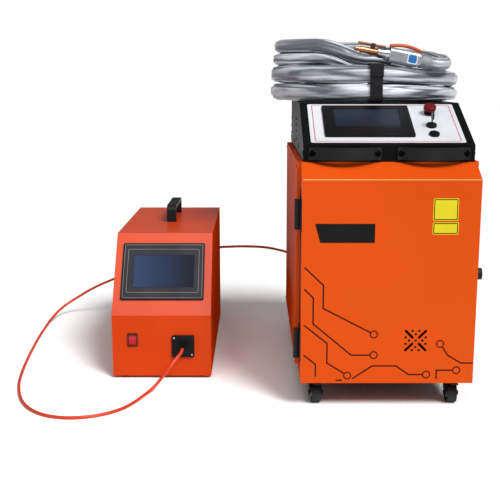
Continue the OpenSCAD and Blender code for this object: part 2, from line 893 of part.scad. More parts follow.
pedal_w = 20;
pedal_l = 44;
pedal_t = 2.5;
pedal_pin_r = 1.5;
pedal_knuckle_r = 4;
pedal_y = race_r + pedal_knuckle_r + play;
pedal_z = crown_top + pedal_knuckle_r;
ear_x = pedal_w / 2 + gap;

// Bracket on the fork's crown with the pedal's pin between two ears
module pedal_ears() {
    span([-ear_x - leg_t, 0, crown_low], [ear_x + leg_t, pedal_y + pedal_knuckle_r, crown_top]);
    for (x = [-ear_x - leg_t, ear_x]) {
        span([x, pedal_y - pedal_knuckle_r, crown_low], [x + leg_t, pedal_y + pedal_knuckle_r, pedal_z]);
        rod_x([x, pedal_y, pedal_z], pedal_knuckle_r, leg_t);
    }
    rod_x([-ear_x - leg_t, pedal_y, pedal_z], pedal_pin_r, 2 * (ear_x + leg_t));
}

module pedal() {
    difference() {
        union() {
            rod_x([-pedal_w / 2, pedal_y, pedal_z], pedal_knuckle_r - play, pedal_w);
            span([-pedal_w / 2, pedal_y, pedal_z + gap],
                [pedal_w / 2, pedal_y + pedal_l, pedal_z + gap + pedal_t]);
        }
        rod_x([-pedal_w / 2 - over, pedal_y, pedal_z], pedal_pin_r + run_gap, pedal_w + 2 * over);
    }
}

module fork_at(n) color("#26272A") place() {
    at = caster_table[n];
    caster_at(at[0], at[1], at[2]) {
        fork() {
            if (n < 2) pedal_ears();
        }
    }
}

module wheel_at(n) color("#3C3D40") place() {
    at = caster_table[n];
    tyre_r = wheel_d / 2;
    caster_at(at[0], at[1], at[2]) translate([-wheel_w / 2, trail, tyre_r]) rotate([0, 90, 0])
        difference() {
        rotate_extrude($fn = 72) difference() {
            union() {
                translate([0, wheel_w * 0.06]) square([tyre_r, wheel_w * 0.88]);
                square([tyre_r - wheel_w * 0.06, wheel_w]);
            }
            for (z = [0, wheel_w]) {
                translate([axle_r * 2.2, z - wheel_w * 0.1]) square([tyre_r * 0.55, wheel_w * 0.2]);
            }
            translate([-over, -over]) square([axle_r + run_gap + over, wheel_w + 2 * over]);
        }
    }
}

module pedal_at(n) color("#26272A") place() {
    at = caster_table[n];
    caster_at(at[0], at[1], at[2]) pedal();
}

// Umbilical: one flat sleeve wound in four loops on the console's flat top.
// Each table row is one loop, clockwise from the rear, a value every eighth of a turn.
coil_lift = 3;
stations = 8;
loops = 4;
loop_rings = 24;
// Middle of the strand above the console's top, in strand heights
level_shares = [
    [0.44, 0.42, 0.41, 0.45, 0.51, 0.51, 0.51, 0.51],
    [1.56, 1.40, 1.24, 1.34, 1.55, 1.56, 1.56, 1.56],
    [1.52, 0.92, 0.40, 0.72, 1.50, 2.44, 2.45, 2.45],
    [2.44, 1.95, 1.19, 1.60, 2.40, 3.24, 3.22, 3.21],
    [3.21, 2.74]];
// Height of the strand, in strand heights
height_shares = [
    [0.80, 0.78, 0.78, 0.84, 0.98, 0.98, 0.98, 0.98],
    [1.00, 0.88, 0.78, 0.86, 1.00, 1.00, 1.00, 1.00],
    [0.88, 0.76, 0.72, 0.72, 0.72, 0.72, 0.72, 0.72],
    [0.72, 0.72, 0.72, 0.72, 0.72, 0.72, 0.72, 0.72],
    [0.72, 0.72]];
// How far the strand lies inside the outer turn, in strand widths
inset_shares = [
    [0, 0, 0, 0, 0, 0, 0, 0],
    [0, 0, 0, 0, 0, 0, 0, 0.9],
    [1.07, 1.10, 1.12, 1.12, 1.12, 0.85, 0.10, 0.50],
    [1.05, 1.12, 1.15, 1.15, 1.12, 0.85, 0.15, 0.50],
    [0.80, 0.60]];
coil_y = cab_depth - coil_rear_in;
coil_centre = [-coil_left, coil_y, flat_z + coil_lift];
// Where the umbilical leaves the hood: left of the coil's centre and behind it
outlet_left = 129;
outlet_behind = 236;
outlet_x = -coil_left - outlet_left;
outlet_y = coil_y + outlet_behind;
outlet_lead = 110;
tail_lead = 70;
lead_rings = 8;
hood_mid = 50;
gland_box_x = outlet_x - hood_mid;

function between(table, t) =
    let (n = floor(t), f = (1 - cos(180 * (t - n))) / 2)
    table[n] + (table[min(n + 1, len(table) - 1)] - table[n]) * f;

function flat(rows) = [for (row = rows) for (value = row) value];

function loop_point(t) =
    let (turn = t * 360 / stations, inset = strand_w * between(flat(inset_shares), t))
    coil_centre + [(coil_a - inset) * sin(turn), (coil_b - inset) * cos(turn),
        strand_h * between(flat(level_shares), t)];

function bezier(a, b, c, d, f) =
    a * pow(1 - f, 3) + b * 3 * f * pow(1 - f, 2) + c * 3 * f * f * (1 - f) + d * pow(f, 3);

function unit(v) = v / norm(v);

turn_step_share = 0.01;

function loop_heading(t) = unit(loop_point(t + turn_step_share) - loop_point(t - turn_step_share));

outlet = [outlet_x, outlet_y, coil_centre[2] + strand_h * level_shares[0][0]];
lead_end = 1;
coil_end = stations * loops + 1;
coil_steps = loops * loop_rings;
straight = [20, 0, 0];
lead_in = concat([outlet], [for (n = [0 : lead_rings - 1])
    bezier(outlet + straight, outlet + straight + [outlet_lead, 0, 0],
        loop_point(lead_end) - outlet_lead * loop_heading(lead_end), loop_point(lead_end),
            n / lead_rings)]);
wound = [for (n = [0 : coil_steps])
    loop_point(lead_end + n * stations / loop_rings)];
// Gun: where its body's middle lies against the coil's, how far it tilts up and turns
gun_right = 91.5;
gun_ahead = 186.5;
gun_up = 125;
gun_at = [gun_right - coil_left, coil_y - gun_ahead, flat_z + gun_up];
gun_pitch = 10.5;
gun_turn = 188.6;
gun_tail_l = 30;
gun_heading = [cos(gun_turn) * cos(gun_pitch), sin(gun_turn) * cos(gun_pitch), sin(gun_pitch)];
gun_tail = gun_at - gun_heading * (gun_body_l / 2 + gun_tail_l);
tail_rise = 12;
tail_end = gun_tail - gap * gun_heading;
tail_start = gun_tail - gun_sleeve_r * gun_heading;
last_heading = unit(loop_point(coil_end) - loop_point(coil_end - turn_step_share));
lead_out = concat([for (n = [1 : lead_rings + 2])
    bezier(loop_point(coil_end), loop_point(coil_end) + tail_lead * last_heading,
        tail_start - tail_lead * gun_heading + [0, 0, tail_rise], tail_start, n / (lead_rings + 2))],
            [tail_end]);
coil_points = concat(lead_in, wound, lead_out);
coil_heights = concat(
    [for (n = [0 : lead_rings]) strand_h * height_shares[0][0]],
    [for (n = [0 : coil_steps]) strand_h * between(flat(height_shares),
        lead_end + n * stations / loop_rings)],
    [for (n = [0 : lead_rings + 2]) strand_h * height_shares[4][0]]);
coil_widths = concat([for (n = [0 : lead_rings + coil_steps + 1]) strand_w],
    [for (n = [1 : lead_rings + 2]) strand_w + (2 * gun_sleeve_r - strand_w) * n / (lead_rings + 2)],
    [2 * gun_sleeve_r]);

function heading(p, n) = unit(p[min(n + 1, len(p) - 1)] - p[max(n - 1, 0)]);

// One closed skin of triangles along the points, each ring an oval of so many sides
module sweep(p, widths, heights, sides) {
    rings = [for (n = [0 : len(p) - 1])
        let (ahead = heading(p, n), side = unit(cross(ahead, [0, 0, 1])), up = cross(side, ahead))
        for (k = [0 : sides - 1])
            let (a = 360 * k / sides)
            p[n] + side * widths[n] / 2 * cos(a) + up * heights[n] / 2 / cos(180 / sides) * sin(a)];
    last = len(p) - 1;
    walls = [for (n = [0 : last - 1]) for (k = [0 : sides - 1])
        let (a = n * sides + k, b = n * sides + (k + 1) % sides)
        for (face = [[a, b, a + sides], [b, b + sides, a + sides]]) face];
    caps = [for (k = [1 : sides - 2]) for (face = [[0, k + 1, k],
        [last * sides, last * sides + k, last * sides + k + 1]]) face];
    polyhedron(points = rings, faces = concat(walls, caps));
}

// Least gap between two stretches of the coil, half a loop or more apart
function strand_gap(i, j) =
    let (d = coil_points[i] - coil_points[j], high = (coil_heights[i] + coil_heights[j]) / 2,
        far = norm([norm([d[0], d[1]]) / strand_w, d[2] / high]))
    far * high - high;

least_gap = min([for (i = [0 : len(coil_points) - 1])
    for (j = [i + loop_rings / 2 : 1 : len(coil_points) - 1])
    strand_gap(i, j)]);
echo(coil_least_gap = least_gap);
echo(coil_length = sum_length(coil_points));

function sum_length(p) = sum([for (n = [1 : len(p) - 1]) norm(p[n] - p[n - 1])]);

function sum(v) = v * [for (n = v) 1];

module umbilical_coil() color("#8E9299") place() sweep(coil_points, coil_widths, coil_heights, 6);

// Hood over the hole in the console's top, with a ferrule that the sleeve leaves by
hood_l = 54;
hood_w = 54;
hood_h = 50;
ferrule_l = 20;
ferrule_r = 21;

module umbilical_gland() color("#1A1B1E") place() {
    z = outlet[2];
    x1 = outlet_x - ferrule_l;
    span([x1 - hood_l, outlet_y - hood_w / 2, flat_z], [x1, outlet_y + hood_w / 2, flat_z + hood_h]);
    rod_x([x1 - over, outlet_y, z], ferrule_r, ferrule_l + over);
    rod_z([gland_box_x, outlet_y, flat_z - 2 * console_wall], gland_r - gap, 2 * console_wall + over);
}

// Strap round the two lower strands at the front
strap_t = 1.6;
strap_x = -24;
strap_slack = 1.2;

module coil_strap() color("#202124") place() {
    low_z = flat_z + play;
    high_z = coil_centre[2] + strand_h * (level_shares[1][4] + height_shares[1][4] / 2) + strap_slack;
    front = coil_y - coil_b - strand_w / 2 - strap_slack;
    reach_share = (strap_x + strap_w + coil_left) / coil_a;
    bend_back = coil_b * (1 - sqrt(1 - reach_share * reach_share));
    back = coil_y - coil_b + strand_w / 2 + bend_back + 2 * strap_slack;
    difference() {
        span([strap_x, front - strap_t, low_z], [strap_x + strap_w, back + strap_t, high_z + strap_t]);
        span([strap_x - over, front, low_z + strap_t], [strap_x + strap_w + over, back, high_z]);
    }
}

// Gun: placed by its body's middle, +X local towards the nozzle, tilted up and turned a little
gun_round = 12;
trigger_l = 28;
trigger_w = 12;
trigger_out = 4;
trigger_stroke = 3;
trigger_x = 8;
trigger_deep = 12;

module on_gun() {
    place() translate(gun_at) rotate([0, -gun_pitch, gun_turn]) children();
}

module along_x(x0, l) {
    translate([x0, 0, 0]) rotate([90, 0, 90]) linear_extrude(l) children();
}

module round_section(w, h, r) {
    square([w - 2 * r, h], center = true);
    square([w, h - 2 * r], center = true);
    for (x = [-1, 1], y = [-1, 1]) {
        translate([x * (w / 2 - r), y * (h / 2 - r)]) circle(r);
    }
}

module gun_body() color("#A9ADB3") on_gun() {
    half = gun_body_l / 2;
    difference() {
        intersection() {
            along_x(-half, gun_body_l) round_section(gun_body_w, gun_body_h, gun_round);
            rotate([90, 0, 0]) translate([0, 0, -gun_body_w]) linear_extrude(2 * gun_body_w) {
                translate([-half + gun_body_h / 2, 0]) circle(gun_body_h / 2);
                translate([-half + gun_body_h / 2, -gun_body_h / 2])
                    square([gun_body_l - gun_body_h / 2, gun_body_h]);
            }
        }
        span([trigger_x - play, -trigger_w / 2 - play, -gun_body_h / 2 - over],
            [trigger_x + trigger_l + play, trigger_w / 2 + play, -gun_body_h / 2 + trigger_deep
                + trigger_stroke]);
    }
}

module gun_trigger() color("#C9CCD0") on_gun() {
    low = -gun_body_h / 2 - trigger_out;
    span([trigger_x, -trigger_w / 2, low], [trigger_x + trigger_l, trigger_w / 2, low + trigger_deep]);
}

collar_r = 17;
collar_step_r = 14;
nozzle_bore = 4;
tip_l = 16;

module gun_collar() color("#B4B8BC") on_gun() {
    rod_x([gun_body_l / 2, 0, 0], collar_r, gun_collar_l / 3);
    difference() {
        rod_x([gun_body_l / 2, 0, 0], collar_step_r, gun_collar_l);
        for (x = [gun_collar_l / 2, gun_collar_l * 0.75]) {
            difference() {
                rod_x([gun_body_l / 2 + x, 0, 0], collar_r + over, screw_r);
                rod_x([gun_body_l / 2 + x - over, 0, 0], collar_step_r - over, screw_r + 2 * over);
            }
        }
    }
}

module gun_nozzle() color("#B06A48") on_gun() {
    start = gun_body_l / 2 + gun_collar_l;
    difference() {
        union() {
            rod_x([start, 0, 0], gun_nozzle_r, gun_nozzle_l - tip_l);
            rod_x([start, 0, 0], gun_nozzle_r * 0.72, gun_nozzle_l);
        }
        rod_x([start - over, 0, 0], nozzle_bore, gun_nozzle_l + 2 * over);
    }
}

clamp_l = 10;
hose_rise = 8;
hose_seat = 4;

module gun_wire_tube() color("#3A3B3E") on_gun() {
    start = gun_body_l / 2 + gun_collar_l / 3 + over;
    tube_z = collar_step_r + wire_tube_r + over;
    nozzle_x = gun_body_l / 2 + gun_collar_l;
    rod_x([start, 0, tube_z], wire_tube_r, gun_collar_l * 2 / 3 + gun_nozzle_l - tip_l / 2);
    difference() {
        span([nozzle_x + clamp_l, -clamp_l * 0.8, -gun_nozzle_r - over],
            [nozzle_x + 2 * clamp_l, clamp_l * 0.8, tube_z + wire_tube_r + over]);
        rod_x([nozzle_x, 0, 0], gun_nozzle_r + gap, 4 * clamp_l);
    }
    reach = gun_body_l / 2;
    arc_r = (reach * reach + hose_rise * hose_rise) / (2 * hose_rise);
    arc_a = asin(reach / arc_r);
    translate([0, 0, gun_body_h / 2 + hose_seat + hose_rise - arc_r]) rotate([90, 0, 0])
        rotate([0, 0, 90 - arc_a]) rotate_extrude(angle = 2 * arc_a, $fn = 200)
            translate([arc_r, 0]) circle(wire_tube_r, $fn = 24);
}

module gun_sleeve() color("#2D2F33") on_gun() {
    rod_x([-gun_body_l / 2 - gun_tail_l, 0, 0], gun_sleeve_r, gun_tail_l - gap);
}

// Wire feeder: folded shell with a sloping front, doors, screen, handle and drive
feeder_pin_r = 2;
feeder_hinge_h = 60;
door_rim = 30;
door_slit = 1.5;
divider_in = 60;
divider_x = feeder_right - divider_in;
divider_t = 2;
outlet_in = 82;
outlet_mid = feeder_right - outlet_in;
outlet_z = 99;
rocker_in = 60;
rocker_x = feeder_left + rocker_in;
rocker_z = 118;
rocker_w = 22;
rocker_h = 27;
rocker_tilt = 8;

function feeder_outline(in) =
    let (pitch = feeder_rise / feeder_slope_run, lost = in / cos(feeder_slope_a))
    [[feeder_y + in, feeder_base_z + in], [feeder_y + in, feeder_fold_z + in * pitch - lost],
    [feeder_y + (feeder_rise - in + lost) / pitch, feeder_top_z - in],
    [feeder_back - in, feeder_top_z - in], [feeder_back - in, feeder_base_z + in]];

feeder_axis_x = feeder_left - feeder_knuckle_r;
feeder_axis_y = feeder_back - door_rim + door_slit / 2;

module feeder_hinge_part(z, first) {
    third = feeder_hinge_h / 3;
    for (n = first == 0 ? [0, 2] : [1]) {
        rod_z([feeder_axis_x, feeder_axis_y, z + n * third], feeder_knuckle_r, third - gap);
    }
}

feeder_hinge_zs = [feeder_base_z + door_rim + feeder_knuckle_r,
    feeder_top_z - door_rim - feeder_hinge_h - feeder_knuckle_r];

// Hooks behind the feeder, each [x, height of the conduit on it]
hook_w = 14;
hook_dip = 2.6;
hook_left_in = 30;
hook_right_in = 20;
hook_low_z = 180;
hook_high_z = 251;
hook_places = [[feeder_left + hook_left_in, hook_low_z], [feeder_right - hook_right_in, hook_high_z]];
// Spool and its hub
spool_y = 700;
spool_z = 215;
spool_bore_r = 26;
spool_flange_t = 4;
spool_wound_r = 112;
spool_off = 12;
hub_nut_t = 6;
hub_nut_r = 34;
hub_l = spool_off + spool_w + 2 * gap;

module feeder_screen_room() {
    on_feeder_slope(screen_up) translate([0, 0, -screen_deep - play])
        round_plate(screen_body_w + 2 * gap, screen_body_h + 2 * gap, console_wall,
            screen_deep + play + over);
}

module feeder_shell() color("#D24A22") place() {
    hub_r = spool_bore_r - run_gap;
    difference() {
        side_profile(feeder_left, feeder_right) polygon(feeder_outline(0));
        side_profile(feeder_left + sheet_t, feeder_right - sheet_t) polygon(feeder_outline(sheet_t));
        side_profile(feeder_left - over, feeder_left + sheet_t + over) polygon(feeder_outline(door_rim));
        span([rocker_x - rocker_w / 2 - play, feeder_y - over, rocker_z - rocker_h / 2 - 2 * play],
            [rocker_x + rocker_w / 2 + play, feeder_y + sheet_t + over,
                rocker_z + rocker_h / 2 + 2 * play]);
        rod_y([outlet_mid, feeder_y - over, outlet_z], gas_bore, sheet_t + 2 * over);
        feeder_screen_room();
    }
    difference() {
        side_profile(divider_x, divider_x + divider_t) polygon(feeder_outline(sheet_t));
        feeder_screen_room();
    }
    rod_x([divider_x - hub_l - hub_nut_t, spool_y, spool_z], hub_r, hub_l + hub_nut_t);
    rod_x([divider_x - hub_l - hub_nut_t, spool_y, spool_z], hub_nut_r, hub_nut_t);
    for (z = feeder_hinge_zs) {
        feeder_hinge_part(z, 0);
        rod_z([feeder_axis_x, feeder_axis_y, z], feeder_pin_r, feeder_hinge_h - gap);
        for (n = [0, 2]) {
            span([feeder_axis_x, feeder_axis_y + door_slit, z + n * feeder_hinge_h / 3],
                [feeder_left + sheet_t, feeder_axis_y + feeder_knuckle_r,
                    z + (n + 1) * feeder_hinge_h / 3 - gap]);
        }
    }
    for (at = hook_places) {
        floor_z = at[1] - conduit_r - hook_dip;
        span([at[0] - hook_w / 2, feeder_back - over, floor_z - divider_t],
            [at[0] + hook_w / 2, feeder_back + hook_out, floor_z]);
        span([at[0] - hook_w / 2, feeder_back + hook_out - divider_t, floor_z - over],
            [at[0] + hook_w / 2, feeder_back + hook_out, at[1] + conduit_r]);
    }
}

module wire_spool() color("#2E2F33") place()
    translate([divider_x - spool_off - spool_w, spool_y, spool_z]) rotate([0, 90, 0])
        rotate_extrude($fn = 96) difference() {
        union() {
            square([spool_r, spool_flange_t]);
            translate([0, spool_w - spool_flange_t]) square([spool_r, spool_flange_t]);
            translate([0, over]) square([spool_wound_r, spool_w - 2 * over]);
        }
        translate([-over, -over]) square([spool_bore_r + over, spool_w + 2 * over]);
    }

// Left hand door of the feeder, hinged at the rear
module feeder_door() color("#C8462A") place() {
    difference() {
        union() {
            difference() {
                side_profile(feeder_left, feeder_left + sheet_t)
                    polygon(feeder_outline(door_rim + door_slit));
                for (z = feeder_hinge_zs) {
                    span([feeder_left - over, feeder_axis_y - feeder_knuckle_r, z - gap],
                        [feeder_left + sheet_t + over, feeder_axis_y, z + feeder_hinge_h]);
                }
            }
            for (z = feeder_hinge_zs) {
                third = feeder_hinge_h / 3;
                feeder_hinge_part(z, 1);
                span([feeder_axis_x, feeder_axis_y - 3 * feeder_knuckle_r, z + third],
                    [feeder_left + sheet_t, feeder_axis_y - door_slit, z + 2 * third - gap]);
            }
        }
        for (z = feeder_hinge_zs) {
            rod_z([feeder_axis_x, feeder_axis_y, z - over], feeder_pin_r + run_gap,
                feeder_hinge_h + 2 * over);
        }
    }
}

// Feeder screen on the sloping front
screen_w = 246;
screen_h = 184;
screen_t = 5;
screen_up = 141;
screen_glass_w = 186;
screen_glass_h = 107;
screen_body_w = 220;
screen_body_h = 160;
screen_deep = 22;

module feeder_screen() color("#46474C") place() on_feeder_slope(screen_up) {
    difference() {
        union() {
            round_plate(screen_w, screen_h, label_edge / 2, screen_t);
            translate([0, 0, -screen_deep]) round_plate(screen_body_w, screen_body_h, console_wall,
                screen_deep + over);
        }
        translate([0, 0, screen_t - glass_t]) round_plate(screen_glass_w, screen_glass_h, console_wall,
            glass_t + over);
    }
    translate([0, 0, screen_t - glass_t]) round_plate(screen_glass_w - gap, screen_glass_h - gap,
        console_wall, glass_t / 2);
}

// Carry handle on the feeder's top, running front to back
carry_l = 222;
carry_w = 30;
carry_h = 54;
carry_t = 12;
carry_y = 609;
carry_round = 18;

module feeder_handle() color("#1B1C1E") place() {
    side_profile(feeder_mid - carry_w / 2, feeder_mid + carry_w / 2) translate([carry_y, feeder_top_z])
        difference() {
        union() {
            square([carry_l, carry_h - carry_round]);
            translate([carry_round, 0]) square([carry_l - 2 * carry_round, carry_h]);
            for (y = [carry_round, carry_l - carry_round]) {
                translate([y, carry_h - carry_round]) circle(carry_round);
            }
        }
        translate([carry_t * 1.6, -over]) square([carry_l - 3.2 * carry_t,
            carry_h - carry_t + over - carry_round / 2]);
        translate([carry_t * 1.6 + carry_round / 2, 0])
            square([carry_l - 3.2 * carry_t - carry_round, carry_h - carry_t]);
        for (y = [carry_t * 1.6 + carry_round / 2, carry_l - carry_t * 1.6 - carry_round / 2]) {
            translate([y, carry_h - carry_t - carry_round / 2]) circle(carry_round / 2);
        }
    }
}

// Front fittings: the outlet flange with its nozzle, and the frame of the power rocker
flange_w = 66;
flange_t = 5;
flange_boss_r = 14;
flange_boss_l = 12;
flange_nose_r = 8;
flange_nose_l = 14;
rocker_rim = 4;
rocker_rim_t = 2;
conduit_start_y = feeder_y - flange_t - flange_boss_l - flange_nose_l;

module feeder_fittings() color("#1A1B1D") place() {
    difference() {
        union() {
            translate([outlet_mid, feeder_y, outlet_z]) rotate([90, 0, 0])
                round_plate(flange_w, flange_w, label_edge / 2, flange_t);
            rod_y([outlet_mid, feeder_y - flange_t - flange_boss_l, outlet_z], flange_boss_r,
                flange_boss_l + over);
            rod_y([outlet_mid, conduit_start_y, outlet_z], flange_nose_r, flange_nose_l + over);
        }
        rod_y([outlet_mid, conduit_start_y - over, outlet_z], gas_bore, 2 * flange_w);
    }
    difference() {
        translate([rocker_x, feeder_y, rocker_z]) rotate([90, 0, 0])
            round_plate(rocker_w + 2 * rocker_rim, rocker_h + 3 * rocker_rim, rocker_rim_t, rocker_rim_t);
        span([rocker_x - rocker_w / 2 - play, feeder_y - flange_t, rocker_z - rocker_h / 2 - 2 * play],
            [rocker_x + rocker_w / 2 + play, feeder_y + over, rocker_z + rocker_h / 2 + 2 * play]);
    }
}

module feeder_rocker() color("#C4161C") place() {
    translate([0, feeder_y, rocker_z]) rotate([-rocker_tilt, 0, 0])
        side_profile(rocker_x - rocker_w / 2, rocker_x + rocker_w / 2)
        polygon([[-rocker_rim_t, rocker_h / 2], [-2 * play, 0], [-rocker_rim_t, -rocker_h / 2],
            [2 * rocker_rim, -rocker_h / 2], [2 * rocker_rim, rocker_h / 2]]);
}

feet_r = 14;
feet_in = 30;

module feeder_feet() color("#222326") place() {
    for (x = [feeder_left + feet_in, feeder_right - feet_in],
        y = [feeder_y + feet_in, feeder_back - feet_in]) {
        rod_z([x, y, 0], feet_r, feeder_base_z);
    }
}

// Wire drive: pancake motor behind the divider, drive plate, grooved roller, sprung pressure arm
drive_y = 380;
roller_r = 17;
roller_w = 12;
wire_gap = 1.2;
motor_r = 38;
motor_l = 42;
drive_plate_t = 8;
drive_h = 110;
arm_t = 8;
arm_pivot_r = 5;
arm_pivot_y = 46;

module feed_drive() color("#9DA1A6") place() {
    low_z = outlet_z - wire_gap / 2 - roller_r;
    rod_x([divider_x + divider_t, drive_y, low_z], motor_r, motor_l);
    span([divider_x - drive_plate_t, drive_y - motor_r, low_z - roller_r - drive_plate_t],
        [divider_x, drive_y + arm_pivot_y + drive_plate_t, low_z + drive_h - roller_r - drive_plate_t]);
    rod_x([outlet_mid - roller_w, drive_y, low_z], axle_r, divider_x - outlet_mid + roller_w);
    rod_x([outlet_mid - roller_w, drive_y + arm_pivot_y, high_roller_z], arm_pivot_r,
        divider_x - outlet_mid + roller_w);
}

high_roller_z = outlet_z + wire_gap / 2 + roller_r;

module drive_roller() color("#C2C5C9") place() {
    low_z = outlet_z - wire_gap / 2 - roller_r;
    translate([outlet_mid - roller_w / 2, drive_y, low_z]) rotate([0, 90, 0]) rotate_extrude()
        difference() {
        square([roller_r, roller_w]);
        translate([-over, -over]) square([axle_r + run_gap + over, roller_w + 2 * over]);
        translate([roller_r, roller_w / 2]) rotate(45) square(wire_gap, center = true);
    }
}

module pressure_arm() color("#8B8F94") place() {
    x0 = outlet_mid + roller_w / 2 + play;
    rod_x([outlet_mid - roller_w / 2, drive_y, high_roller_z], roller_r, roller_w);
    rod_x([outlet_mid - roller_w / 2 - play, drive_y, high_roller_z], axle_r,
        roller_w + arm_t / 2 + 2 * play);
    difference() {
        union() {
            span([x0, drive_y, high_roller_z - arm_t],
                [x0 + arm_t / 2, drive_y + arm_pivot_y, high_roller_z + arm_t]);
            rod_x([x0, drive_y + arm_pivot_y, high_roller_z], arm_t * 1.1, arm_t / 2);
        }
        rod_x([x0 - over, drive_y + arm_pivot_y, high_roller_z], arm_pivot_r + run_gap, arm_t);
    }
}

// Wire conduit: out of the feeder, over the floor, up behind it over two hooks, into the cabinet
conduit_points = [
    [-562, 210, 99], [-562, 198, 99], [-564, 184, 96], [-573, 168, 88], [-588, 152, 72],
        [-609, 140, 46], [-630, 130, 21],
    [-648, 112, 8], [-663, 80, 4.5], [-680, 35, 4.5], [-705, -10, 4.5], [-742, -46, 4.5],
        [-790, -69, 4.5],
    [-845, -75, 4.5], [-900, -58, 4.5], [-948, -18, 4.5], [-985, 38, 4.5], [-1012, 105, 4.5],
    [-1035, 190, 4.5], [-1052, 290, 4.5], [-1066, 400, 4.5], [-1078, 520, 4.5], [-1088, 640, 4.5],
    [-1094, 750, 5], [-1093, 830, 11], [-1081, 895, 24], [-1056, 937, 42], [-1018, 958, 64],
    [-970, 964, 92], [-910, 964, 121], [-830, 964, 152], [-740, 964, 180], [-620, 964, 216],
        [-500, 964, 251],
    [-435, 965, 257], [-370, 962, 258], [-310, 948, 257], [-258, 920, 252], [-215, 888, 245],
    [-184, 858, 238], [-170, 838, 236], [-170, 824, 236]];

module wire_conduit() color("#D8471F") place()
    sweep(conduit_points, [for (p = conduit_points) 2 * conduit_r],
        [for (p = conduit_points) 2 * conduit_r * cos(180 / 8)], 8);

base_frame();
left_cover();
right_cover();
rear_panel();
hinge_leaves();
door_panel();
door_hinges();
latch_knob();
console_shell();
console_label();
hmi_unit();
console_handles();
panel_screws();
estop_base();
estop_button();
key_switch();
key();
start_ring();
start_button();
fan_frame();
fan_rotor();
rear_glands();
gas_inlet();
umbilical_gland();
laser_source();
power_supply();
water_tank();
compressor();
condenser();
caster_plates();
fork_at(0);  // fork_front_left
fork_at(1);  // fork_front_right
fork_at(2);  // fork_rear_left
fork_at(3);  // fork_rear_right
wheel_at(0);  // wheel_front_left
wheel_at(1);  // wheel_front_right
wheel_at(2);  // wheel_rear_left
wheel_at(3);  // wheel_rear_right
pedal_at(0);  // pedal_left
pedal_at(1);  // pedal_right
gun_body();
gun_nozzle();
gun_collar();
gun_wire_tube();
gun_sleeve();
gun_trigger();
umbilical_coil();
coil_strap();
feeder_shell();
feeder_door();
feeder_screen();
feeder_handle();
feeder_fittings();
feeder_rocker();
feeder_feet();
feed_drive();
pressure_arm();
wire_spool();
drive_roller();
wire_conduit();
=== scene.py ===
import bpy
import bmesh
import math
from mathutils import Matrix, Vector, noise


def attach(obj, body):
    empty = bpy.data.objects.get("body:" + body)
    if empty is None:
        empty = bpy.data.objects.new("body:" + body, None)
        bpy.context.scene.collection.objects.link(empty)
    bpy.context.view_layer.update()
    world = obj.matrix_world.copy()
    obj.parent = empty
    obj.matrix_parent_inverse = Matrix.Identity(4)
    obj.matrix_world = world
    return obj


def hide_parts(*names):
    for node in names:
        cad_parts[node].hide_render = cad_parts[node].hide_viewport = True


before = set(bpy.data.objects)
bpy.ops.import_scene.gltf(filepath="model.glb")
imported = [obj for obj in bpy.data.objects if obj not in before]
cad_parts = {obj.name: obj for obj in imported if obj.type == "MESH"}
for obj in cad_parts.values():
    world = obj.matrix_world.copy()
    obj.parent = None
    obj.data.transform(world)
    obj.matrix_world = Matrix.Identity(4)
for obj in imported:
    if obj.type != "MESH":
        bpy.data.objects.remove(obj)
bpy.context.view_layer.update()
print("frame loaded")

# Sizes are drawing millimetres: x from the cabinet's middle, y from the door's face, z from
# the floor. The frame's own zero stands at middleX, middleY of the drawing.
drawing = {"middleX": -268.5, "middleY": 485.5}


def at(x, y, z):
    return Vector(((x - drawing["middleX"]) / 1000, (y - drawing["middleY"]) / 1000, z / 1000))


def toDrawing(p):
    return Vector((p.x * 1000 + drawing["middleX"], p.y * 1000 + drawing["middleY"], p.z * 1000))


def newObject(name, data):
    thing = bpy.data.objects.new(name, data)
    bpy.context.collection.objects.link(thing)
    return thing


# The camera stands 2.19 m in front of the door, looking down a little; clipEnd is in metres
cameraSet = {"place": (-351.2, -2190.4, 866.9), "tiltDown": 11.17, "lens": 62.07, "sensorWidth": 36,
             "shiftX": -0.0097, "clipEnd": 50}
cameraData = bpy.data.cameras.new("camera")
cameraData.lens = cameraSet["lens"]
cameraData.sensor_width = cameraSet["sensorWidth"]
cameraData.shift_x = cameraSet["shiftX"]
cameraData.clip_end = cameraSet["clipEnd"]
camera = newObject("camera", cameraData)
camera.location = at(*cameraSet["place"])
camera.rotation_euler = (math.radians(90 - cameraSet["tiltDown"]), 0, 0)
bpy.context.scene.camera = camera
print("camera placed")


# An sRGB hex code as the linear colour that a socket takes
def toLinear(code):
    values = [int(code[i:i + 2], 16) / 255 for i in (1, 3, 5)]
    linear = [v / 12.92 if v <= 0.04045 else ((v + 0.055) / 1.055) ** 2.4 for v in values]
    return (*linear, 1.0)


# One node: settings go to its sockets or options and stops to its colour ramp, links come
# into its inputs, and feeds lead from its outputs to other sockets
def addNode(material, kind, settings=None, links=None, feeds=None):
    tree = material.node_tree
    node = tree.nodes.new(kind)
    for key, value in (settings or {}).items():
        if key == "stops":
            for element, (position, code) in zip(node.color_ramp.elements, value):
                element.position = position
                element.color = toLinear(code)
        elif isinstance(key, int) or key in node.inputs:
            node.inputs[key].default_value = value
        else:
            setattr(node, key, value)
    for key, source in (links or {}).items():
        tree.links.new(source, node.inputs[key])
    for key, target in (feeds or {}).items():
        tree.links.new(node.outputs[key], target)
    return node


def newMaterial(name, colour, settings=None):
    material = bpy.data.materials.new(name)
    material.use_nodes = True
    material.node_tree.nodes.clear()
    shader = addNode(material, "ShaderNodeBsdfPrincipled",
                     {"Base Color": toLinear(colour), **(settings or {})})
    addNode(material, "ShaderNodeOutputMaterial", {}, {"Surface": shader.outputs["BSDF"]})
    material.diffuse_color = toLinear(colour)
    return material, shader


def shaderOf(material):
    return next(n for n in material.node_tree.nodes if n.type == "BSDF_PRINCIPLED")


